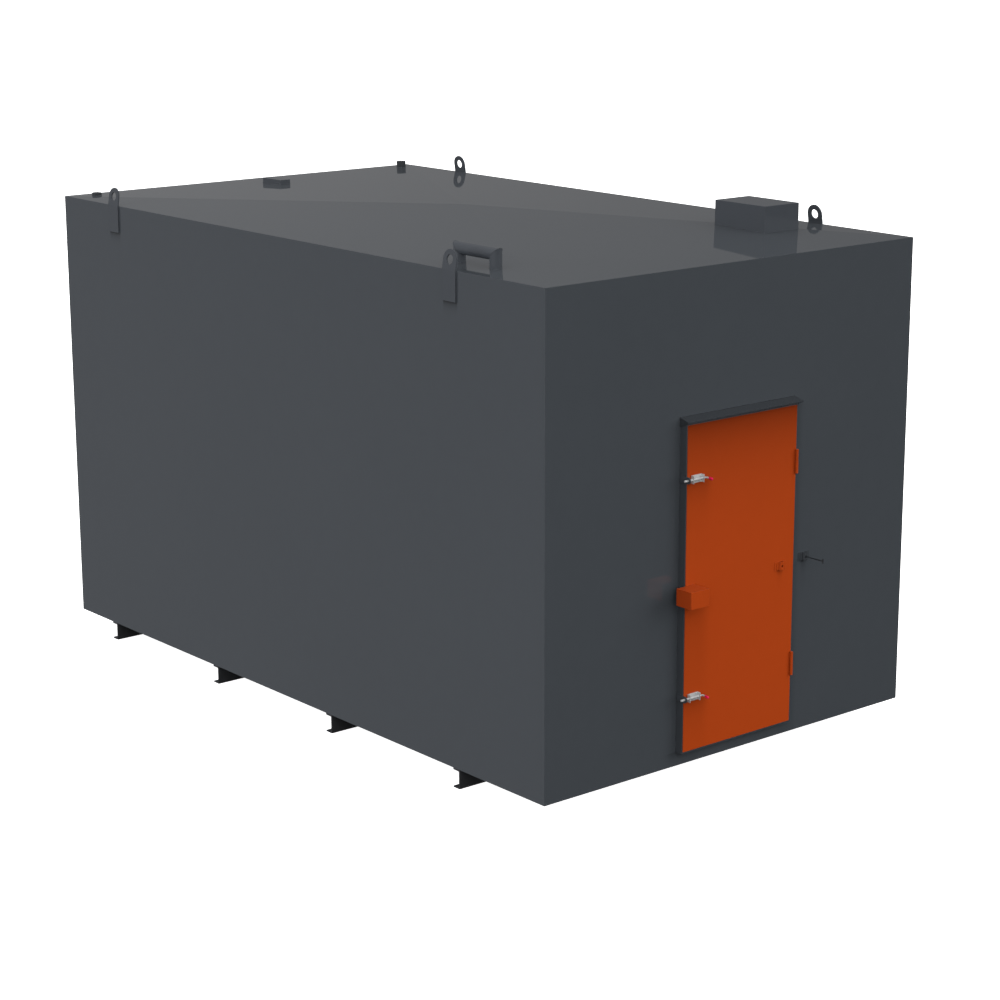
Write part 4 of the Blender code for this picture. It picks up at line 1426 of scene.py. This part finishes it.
@dataclass
class SlideBolts:
    """Plated slide bolts: a folded bracket, a bar with a collar and a bent handle, a dipped grip."""

    left: float = 0.868
    right: float = 0.938
    half: float = 0.0195
    depth: float = 0.021
    sheet: float = 0.003
    fold: float = 0.0025
    inner_fold: float = 0.0008
    fold_steps: int = 4
    edge: float = 0.0006
    reach: float = 0.0125
    sides: int = 40
    bar_left: float = 0.815
    bar: float = 0.0055
    bar_tip: tuple[Pair, ...] = ((0.0, 0.0016), (0.0005, 0.0007), (0.0016, 0.0))
    bore: float = 0.0058
    collar: float = 0.0075
    collar_soft: float = 0.0007
    collar_length: float = 0.0245
    handle: float = 0.0045
    bend_radius: float = 0.010
    bend_left: float = 0.958
    bend_steps: int = 16
    lean: float = math.radians(11)
    handle_length: float = 0.013
    grip: float = 0.007
    grip_length: float = 0.027
    grip_clear: float = 0.0002
    grip_lip: tuple[Pair, ...] = ((0.0010, 0.0003), (0.0003, 0.0010), (0.0, 0.0022))
    grip_steps: int = 10
    screw_in: float = 0.012
    screw_up: float = 0.0135
    screw_head: float = 0.0038
    screw_rise: float = 0.0022

    def build(self, shop: Shop) -> None:
        """Builds both bolts with their screws.

        Args:
            shop: the weld beads and screws.
        """
        heads = []
        for height, body in ((Height.UPPER, Body.BOLT_UPPER), (Height.LOWER, Body.BOLT_LOWER)):
            self.bracket(height)
            self.bar_and_grip(height, body)
            front = -(LEAF_FACE + SEAM + self.sheet)
            for left in (self.left + self.screw_in, self.right - self.screw_in):
                for rise in (-self.screw_up, self.screw_up):
                    heads.append([at(left, front, height.value + rise)])
        sizes = {"Head": self.screw_head, "Rise": self.screw_rise}
        shop.screw.run("bolt_bracket_screws", heads, sizes, Coat.ZINC, Body.DOOR)

    def bracket(self, height: Height) -> None:
        """The folded bracket: a base on the leaf and two pierced ends.

        Args:
            height: which of the two bolts.
        """
        t, deep = self.sheet, self.depth
        length = self.right - self.left
        corners = (
            (0, deep), (0, 0), (length, 0), (length, deep),
            (length - t, deep), (length - t, t), (t, t), (t, deep),
        )
        radii = (0, self.fold, self.fold, 0, 0, self.inner_fold, self.inner_fold, 0)
        fold = rounded(corners, radii, self.fold_steps)
        base, seat = height.value - self.half, LEAF_FACE + SEAM
        solid = Solid().prism([at(self.left + u, -(seat + v), base) for u, v in fold], 2 * self.half * UP)
        piece = solid.finish(f"bolt_bracket_{height.place}_folded", Coat.ZINC, self.edge, body=Body.DOOR)
        start = at(self.left - 2 * t, -(LEAF_FACE + self.reach), height.value)
        placing = Matrix.Translation(start) @ Matrix.Rotation(QUARTER, 4, "Y")
        run = length + 4 * t
        cut(piece, Solid().turned([(0, 0), (self.bore, 0), (self.bore, run), (0, run)], placing, self.sides))
        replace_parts(piece, f"bolt_bracket_{height.place}")

    def stations(self, base: float) -> list[tuple[Vector, Vector, float]]:
        """The bar's centre line as (centre, direction, radius), from its free end to the grip.

        Args:
            base: the bolt's height above the floor's underside.

        Returns:
            A centre, a direction and a radius for each loop of the bar.
        """
        axis = LEAF_FACE + self.reach
        start = self.left + self.sheet + SEAM
        end = start + self.collar_length
        shoulder = self.right + SEAM
        soft, bar, collar = self.collar_soft, self.bar, self.collar
        steps = [(self.bar_left + run, bar - drop) for run, drop in self.bar_tip]
        steps += [
            (start, bar), (start, collar - soft), (start + soft, collar), (end - soft, collar),
            (end, collar - soft), (end, bar), (shoulder, bar), (shoulder + (bar - self.handle), self.handle),
        ]
        out = [(at(left, -axis, base), RIGHT, radius) for left, radius in steps]
        centre = at(self.bend_left - self.bend_radius, -axis - self.bend_radius, base)
        for i in range(self.bend_steps + 1):
            a = (QUARTER + self.lean) * i / self.bend_steps
            arm = self.bend_radius * Vector((math.sin(a), math.cos(a), 0))
            out.append((centre + arm, Vector((math.cos(a), -math.sin(a), 0)), self.handle))
        end, way, radius = out[-1]
        out.append((end + self.handle_length * way, way, radius))
        return out

    def bar_and_grip(self, height: Height, body: Body) -> None:
        """The bar and its grip.

        Args:
            height: which of the two bolts.
            body: the bolt's body.
        """
        stations = self.stations(height.value)
        loops = []
        for centre, way, radius in stations:
            across = way.cross(UP)
            turn = spokes(across, across.cross(way), self.sides)
            loops.append([centre + radius * spoke for spoke in turn])
        bar = Solid().rings(loops, closed=False).finish(f"bolt_bar_{height.place}", Coat.ZINC, body=body)
        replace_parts(bar, f"bolt_rod_{height.place}")

        end, way, _ = stations[-1]
        tilt = UP.rotation_difference(way).to_matrix().to_4x4()
        r, length = self.grip, self.grip_length
        profile = [(0, 0), (self.handle + self.grip_clear, 0)]
        profile += [(r - drop, run) for drop, run in self.grip_lip] + [(r, length / 2)]
        profile += outline_arc((0, length - r), r, 0, 90, self.grip_steps)[:-1] + [(0, length)]
        solid = Solid().turned(profile, Matrix.Translation(end + SEAM * way) @ tilt, self.sides)
        grip = solid.finish(f"bolt_grip_{height.place}_dipped", Coat.GRIP, body=body)
        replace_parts(grip, f"bolt_grip_{height.place}")


@dataclass
class Retainer:
    """The wall bracket with its T-headed rod, and the matching keeper on the leaf."""

    half_width: float = 0.039
    base_plate: float = 0.002
    half_flange: float = 0.0265
    flange_depth: float = 0.005
    crown: float = 0.0137
    crown_steps: int = 28
    half_height: float = 0.021
    sheet: float = 0.003
    edge: float = 0.0005
    hole: float = 0.006
    hole_sides: int = 40
    base: float = 0.912
    wall_left: float = 1.709
    keeper_left: float = 1.490
    rod: float = 0.003
    rod_sides: int = 32
    reach: float = 0.1345
    head: float = 0.0035
    head_half: float = 0.012
    head_soft: float = 0.0008

    def build(self, shop: Shop) -> None:
        """Builds both brackets and the rod.

        Args:
            shop: the weld beads and screws.
        """
        for name, node, left, face, coat, body in (
            ("retainer_bracket_folded", "retainer_bracket", self.wall_left, 0.0, Coat.BRACKET, Body.TANK),
            (
                "retainer_keeper_folded", "retainer_keeper", self.keeper_left, LEAF_FACE, Coat.ORANGE,
                Body.DOOR,
            ),
        ):
            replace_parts(self.hat(name, left, face, coat, body), node)
        self.t_rod()

    def hat(self, name: str, left: float, face: float, coat: Coat, body: Body) -> Piece:
        """A flanged bracket with a half-round crown and a hole through the crown.

        Args:
            name: the piece's name.
            left: where its middle is.
            face: how far the face that carries it stands out.
            coat: its finish.
            body: the body that it rides on.

        Returns:
            The new piece.
        """
        r, t, deep = self.crown, self.sheet, self.flange_depth
        seat = face + SEAM
        right = [
            (r - t, 0.0), (self.half_width, 0.0), (self.half_width, self.base_plate),
            (self.half_flange, self.base_plate), (self.half_flange, deep),
        ]
        fold = right + outline_arc((0, deep), r, 0, 180, self.crown_steps)
        fold += [(-u, v) for u, v in reversed(right)]
        fold += outline_arc((0, deep), r - t, 180, 0, self.crown_steps)
        foot = self.base - self.half_height
        solid = Solid().prism([at(left + u, -(seat + v), foot) for u, v in fold], 2 * self.half_height * UP)
        piece = solid.finish(name, coat, self.edge, body=body)
        start = at(left, -(seat + deep + r - 2 * t), self.base)
        cutter = Solid()
        self.stick(cutter, start, self.hole, 4 * t, self.hole_sides)
        cut(piece, cutter)
        return piece

    def stick(self, solid: Solid, start: Vector, radius: float, length: float, sides: int) -> None:
        """Adds a plain round rod that stands outwards from a point."""
        placing = Matrix.Translation(start) @ Matrix.Rotation(QUARTER, 4, "X")
        solid.turned([(0, 0), (radius, 0), (radius, length), (0, length)], placing, sides)

    def t_rod(self) -> None:
        """The rod that stands out of the wall bracket, with a cross bar at its end."""
        solid = Solid()
        start = at(self.wall_left, -SEAM, self.base)
        self.stick(solid, start, self.rod, self.reach - SEAM, self.rod_sides)
        low = at(self.wall_left, -self.reach, self.base - self.head_half)
        r, soft, span = self.head, self.head_soft, 2 * self.head_half
        profile = [(0, 0), (r - soft, 0), (r, soft), (r, span - soft), (r - soft, span), (0, span)]
        solid.turned(profile, Matrix.Translation(low), self.rod_sides)
        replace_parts(solid.finish("retainer_t_rod", Coat.DARK), "retainer_rod")


@dataclass(frozen=True)
class SheetBox:
    """Sizes of an open-bottomed box on the roof, with its top measured from the roof's edges."""

    node: str
    left: float
    front: float
    width: float
    length: float
    rise: float
    sheet: float = 0.003
    edge: float = 0.0012
    segments: int = 3


@dataclass(frozen=True)
class Plug:
    """Sizes of a round fitting on the roof, with its top measured from the roof's edges."""

    node: str
    left: float
    front: float
    radius: float
    rise: float
    soft: float = 0.002
    shoulder: float = 0.3
    sides: int = 64


@dataclass
class RoofFittings:
    """Boxes, plug, stub and the mitred pipe, upright and seated on the sloping roof."""

    boxes: tuple[SheetBox, ...] = (
        SheetBox("roof_vent_box", 1.896, 0.506, 0.2457, 0.3606, 0.1502),
        SheetBox("roof_low_box", 1.1732, 3.7474, 0.0694, 0.1814, 0.039),
    )
    plugs: tuple[Plug, ...] = (
        Plug("roof_plug", 0.1360, 4.0756, 0.0275, 0.0200),
        Plug("roof_stub", 2.2978, 4.0582, 0.028, 0.0425),
    )
    pipe_left: float = 0.1577
    pipe_fronts: Pair = (0.5366, 0.8051)
    pipe_radius: float = 0.0302
    pipe_wall: float = 0.0036
    pipe_rise: float = 0.0744
    pipe_sides: int = 72
    bead: float = 0.0013
    bead_off: float = 0.0004
    mitre_bead_off: float = 0.0002
    path_step: float = 0.02
    path_sides: int = 48

    def build(self, shop: Shop) -> None:
        """Builds each fitting and the welds round its foot.

        Args:
            shop: the weld beads and screws.
        """
        paths = [self.sheet_box(sizes) for sizes in self.boxes]
        paths += [self.plug(sizes) for sizes in self.plugs]
        paths += self.pipe()
        shop.bead("roof_welds", paths, Coat.FITTING, self.bead)

    def sheet_box(self, sizes: SheetBox) -> list[Vector]:
        """A sheet box with softened edges, open below.

        Args:
            sizes: the box's sizes.

        Returns:
            The bead's path round its foot.
        """
        t, left, front, off = sizes.sheet, sizes.left, sizes.front, self.bead_off
        right, rear, top = left + sizes.width, front + sizes.length, TANK_HEIGHT + sizes.rise
        solid = Solid().box(at(left, front, TANK_HEIGHT), at(right, rear, top))
        piece = solid.finish(f"{sizes.node}_sheet", Coat.FITTING, sizes.edge, sizes.segments)
        cut(piece, Solid().box(at(left + t, front + t, TANK_HEIGHT - PAST), at(right - t, rear - t, top - t)))
        cut(piece, Solid().hipped(SEAM))
        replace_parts(piece, sizes.node)
        left, right, front, rear = left - off, right + off, front - off, rear + off
        corners = ((left, front), (right, front), (right, rear), (left, rear), (left, front))
        return self.on_roof(self.filled(corners))

    def plug(self, sizes: Plug) -> list[Vector]:
        """A round plug with a rounded top edge.

        Args:
            sizes: the plug's sizes.

        Returns:
            The bead's path round its foot.
        """
        radius, soft, top = sizes.radius, sizes.soft, sizes.rise
        some = soft * sizes.shoulder
        profile = [(0, 0), (radius, 0), (radius, top - soft), (radius - some, top - some)]
        profile += [(radius - soft, top), (0, top)]
        placing = Matrix.Translation(at(sizes.left, sizes.front, TANK_HEIGHT))
        piece = Solid().turned(profile, placing, sizes.sides).finish(f"{sizes.node}_turned", Coat.DARK)
        cut(piece, Solid().hipped(SEAM))
        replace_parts(piece, sizes.node)
        return self.circle(sizes.left, sizes.front, radius + self.bead_off)

    def filled(self, corners: Sequence[Pair]) -> list[Pair]:
        """The corners of a path in plan with points between them, so that it can follow the roof.

        Args:
            corners: the corners in order.

        Returns:
            The corners and the points between them.
        """
        out = [corners[0]]
        for here, ahead in zip(corners, corners[1:]):
            count = max(1, round(math.dist(here, ahead) / self.path_step))
            for k in range(1, count + 1):
                out.append(tuple(a + k / count * (b - a) for a, b in zip(here, ahead)))
        return out

    def on_roof(self, plan: Iterable[Pair]) -> list[Vector]:
        """Points in plan laid just above the roof's surface."""
        return [at(left, front, roof_height(left, front) + SEAM) for left, front in plan]

    def circle(self, left: float, front: float, radius: float) -> list[Vector]:
        """A circle in plan laid on the roof."""
        return self.on_roof(outline_arc((left, front), radius, 0, 360, self.path_sides))

    def pipe(self) -> list[list[Vector]]:
        """The mitred pipe in three lengths.

        Returns:
            The beads' paths round its feet and mitres.
        """
        left, (first, last), radius = self.pipe_left, self.pipe_fronts, self.pipe_radius
        axis = TANK_HEIGHT + self.pipe_rise
        gap = SEAM * math.sqrt(0.5)
        front_cut = Vector((0, 1, 1)).normalized()
        rear_cut = Vector((0, -1, 1)).normalized()
        inside = radius - self.pipe_wall
        for name, start, end, start_cut, end_cut in (
            ("front_leg", at(left, first, TANK_HEIGHT), at(left, first, axis - gap), UP, front_cut),
            ("rear_leg", at(left, last, TANK_HEIGHT), at(left, last, axis - gap), UP, rear_cut),
            ("top", at(left, first + gap, axis), at(left, last - gap, axis), front_cut, rear_cut),
        ):
            along = (end - start).normalized()
            rows = (
                (start_cut, radius, start), (end_cut, radius, end),
                (end_cut, inside, end), (start_cut, inside, start),
            )
            solid = Solid().rings([self.cut_ring(along, *row) for row in rows], closed=True)
            piece = solid.finish(f"pipe_{name}_tube", Coat.FITTING)
            if name != "top":
                cut(piece, Solid().hipped(SEAM))
            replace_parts(piece, f"pipe_loop_{name}")
        paths = [self.circle(left, front, radius + self.bead_off) for front in self.pipe_fronts]
        for front, cut_normal in ((first, front_cut), (last, rear_cut)):
            ring = self.cut_ring(UP, cut_normal, radius + self.mitre_bead_off, at(left, front, axis))
            paths.append(ring + ring[:1])
        return paths

    def cut_ring(self, along: Vector, normal: Vector, radius: float, point: Vector) -> list[Vector]:
        """The oval where a plane cuts a tube.

        Args:
            along: the way that the tube runs.
            normal: the plane's normal.
            radius: the tube's radius.
            point: where the plane meets the axis.

        Returns:
            The oval's points.
        """
        ring = []
        for spoke in spokes(RIGHT, along.cross(RIGHT), self.pipe_sides):
            offset = radius * spoke
            ring.append(point + offset - along * (offset.dot(normal) / along.dot(normal)))
        return ring


# Studio


@dataclass(frozen=True)
class Softbox:
    """A large square light, placed by its direction from what it lights."""

    name: str
    aim: Triple
    bearing: float
    elevation: float
    level: float
    distance: float = 16.0
    size: float = 8.0
    tint: Triple = (1.0, 1.0, 1.0)

    def build(self) -> None:
        """Hangs the light; its bearing runs from the door end (-Y) towards the left side (-X), in degrees."""
        turn, rise = math.radians(self.bearing), math.radians(self.elevation)
        flat = math.cos(rise)
        way = Vector((-math.sin(turn) * flat, -math.cos(turn) * flat, math.sin(rise)))
        light = bpy.data.lights.new(self.name, "AREA")
        light.shape = "SQUARE"
        light.size = self.size
        light.energy = self.level * math.pi ** 2 * self.distance ** 2
        light.color = self.tint
        lamp = bpy.data.objects.new(self.name, light)
        lamp.visible_glossy = False
        bpy.context.scene.collection.objects.link(lamp)
        lamp.location = Vector(self.aim) + self.distance * way
        lamp.rotation_mode = "QUATERNION"
        lamp.rotation_quaternion = (-way).to_track_quat("-Z", "Y")


@dataclass
class Studio:
    """A pale floor, soft light and the camera at the photograph's viewing angle."""

    camera_left: float = -7.1246
    camera_front: float = -8.3037
    camera_base: float = 4.2551
    forward: Triple = (0.62465, 0.74151, -0.24490)
    lens: float = 89.64
    shift: Pair = (-0.0230, -0.0025)
    sensor: float = 36.0
    far: float = 1000.0
    floor_size: float = 600.0
    floor_drop: float = 0.0005
    floor_colour: Triple = (0.86, 0.86, 0.86)
    floor_roughness: float = 0.9
    floor_specular: float = 0.1
    dome: float = 1.25
    mirror_middle: float = 0.161
    mirror_slope: float = 0.20
    mirror_most: float = 0.28
    mirror_least: float = 0.135
    mirror_tint: Triple = (0.99, 0.99, 1.01)
    horizon_blur: float = 0.05
    white: tuple[float, ...] = (1.0, 1.0, 1.0, 1.0)
    softboxes: tuple[Softbox, ...] = (
        Softbox("front_left_light", (0, -2, 1.3), 33, 19, 0.386, 18.0, 11.0),
        Softbox("front_right_light", (0, -2, 1.3), -45, 19, 0.328, 18.0, 11.0),
        Softbox("left_light", (-1.2, 0, 1.3), 107, 7, 0.410, tint=(0.97, 0.99, 1.06)),
        Softbox("right_light", (1.2, 0, 1.3), -107, 7, 0.22),
        Softbox("rear_light", (0, 2, 1.3), 183, 8, 0.32),
    )

    def build(self) -> None:
        """Builds the floor, the lights, the world and the camera."""
        self.floor()
        self.world()
        for softbox in self.softboxes:
            softbox.build()
        self.camera()
        scene = bpy.context.scene
        scene.view_settings.view_transform = "Standard"
        scene.view_settings.look = "None"

    def floor(self) -> None:
        """A plain pale floor, which only the camera sees glow."""
        material = bpy.data.materials.new("studio_floor")
        material.use_nodes = True
        nodes = Nodes(material.node_tree)
        nodes.fill(nodes.tree.nodes["Principled BSDF"], {
            "Base Color": (*self.floor_colour, 1.0),
            "Roughness": self.floor_roughness,
            "Specular IOR Level": self.floor_specular,
            "Emission Color": self.white,
            "Emission Strength": nodes.out("ShaderNodeLightPath", "Is Camera Ray"),
        })
        bm = bmesh.new()
        bmesh.ops.create_grid(bm, x_segments=1, y_segments=1, size=self.floor_size / 2)
        mesh = bpy.data.meshes.new("studio_floor")
        bm.to_mesh(mesh)
        bm.free()
        mesh.materials.append(material)
        ground = shown("studio_floor", mesh)
        ground.location.z = -self.floor_drop
        ground.visible_glossy = False
        ground.visible_diffuse = False

    def world(self) -> None:
        """An even dome of light, seen as white; the paint mirrors a dim room, lighter at the rear left."""
        world = bpy.data.worlds.new("studio")
        bpy.context.scene.world = world
        world.use_nodes = True
        nodes = Nodes(world.node_tree)
        way = nodes.out("ShaderNodeTexCoord", "Generated")
        seen = nodes.node("ShaderNodeLightPath").outputs
        slope = {0: way, 1: (-self.mirror_slope, self.mirror_slope, 0.0)}
        along = nodes.out("ShaderNodeVectorMath", "Value", slope, operation="DOT_PRODUCT")
        middle, most = self.mirror_middle, self.mirror_most
        room = nodes.span(along, (-middle, most - middle), (0.0, most))
        height = nodes.out("ShaderNodeSeparateXYZ", "Z", {0: way})
        above, least = (
            nodes.span(height, (-self.horizon_blur, self.horizon_blur), (0.0, level))
            for level in (self.dome, self.mirror_least)
        )
        mirrored = nodes.scaled(self.mirror_tint, nodes.math("MAXIMUM", room, least))
        lit = nodes.mixed(seen["Is Glossy Ray"], above, mirrored)
        sky = nodes.mixed(seen["Is Camera Ray"], lit, self.white)
        nodes.fill(nodes.tree.nodes["Background"], {"Color": sky, "Strength": 1.0})

    def camera(self) -> None:
        """The camera, with the lens and shift that the photograph's framing needs."""
        data = bpy.data.cameras.new("camera")
        data.sensor_width = self.sensor
        data.lens = self.lens
        data.shift_x, data.shift_y = self.shift
        data.clip_end = self.far
        camera = bpy.data.objects.new("camera", data)
        bpy.context.scene.collection.objects.link(camera)
        camera.location = at(self.camera_left, self.camera_front, self.camera_base)
        camera.rotation_mode = "QUATERNION"
        camera.rotation_quaternion = Vector(self.forward).to_track_quat("-Z", "Y")
        bpy.context.scene.camera = camera


def main() -> None:
    """Builds every sub-assembly in order."""
    logging.basicConfig(level=logging.INFO, format="%(message)s")
    build_finishes()
    shop = Shop()
    for part in (
        Shell(), Bearers(), LiftingLugs(), Doorway(), DoorLeaf(), SlideBolts(), Retainer(), RoofFittings()
    ):
        LOG.info("building %s", type(part).__name__)
        part.build(shop)
    Studio().build()


if __name__ == "__main__":
    main()
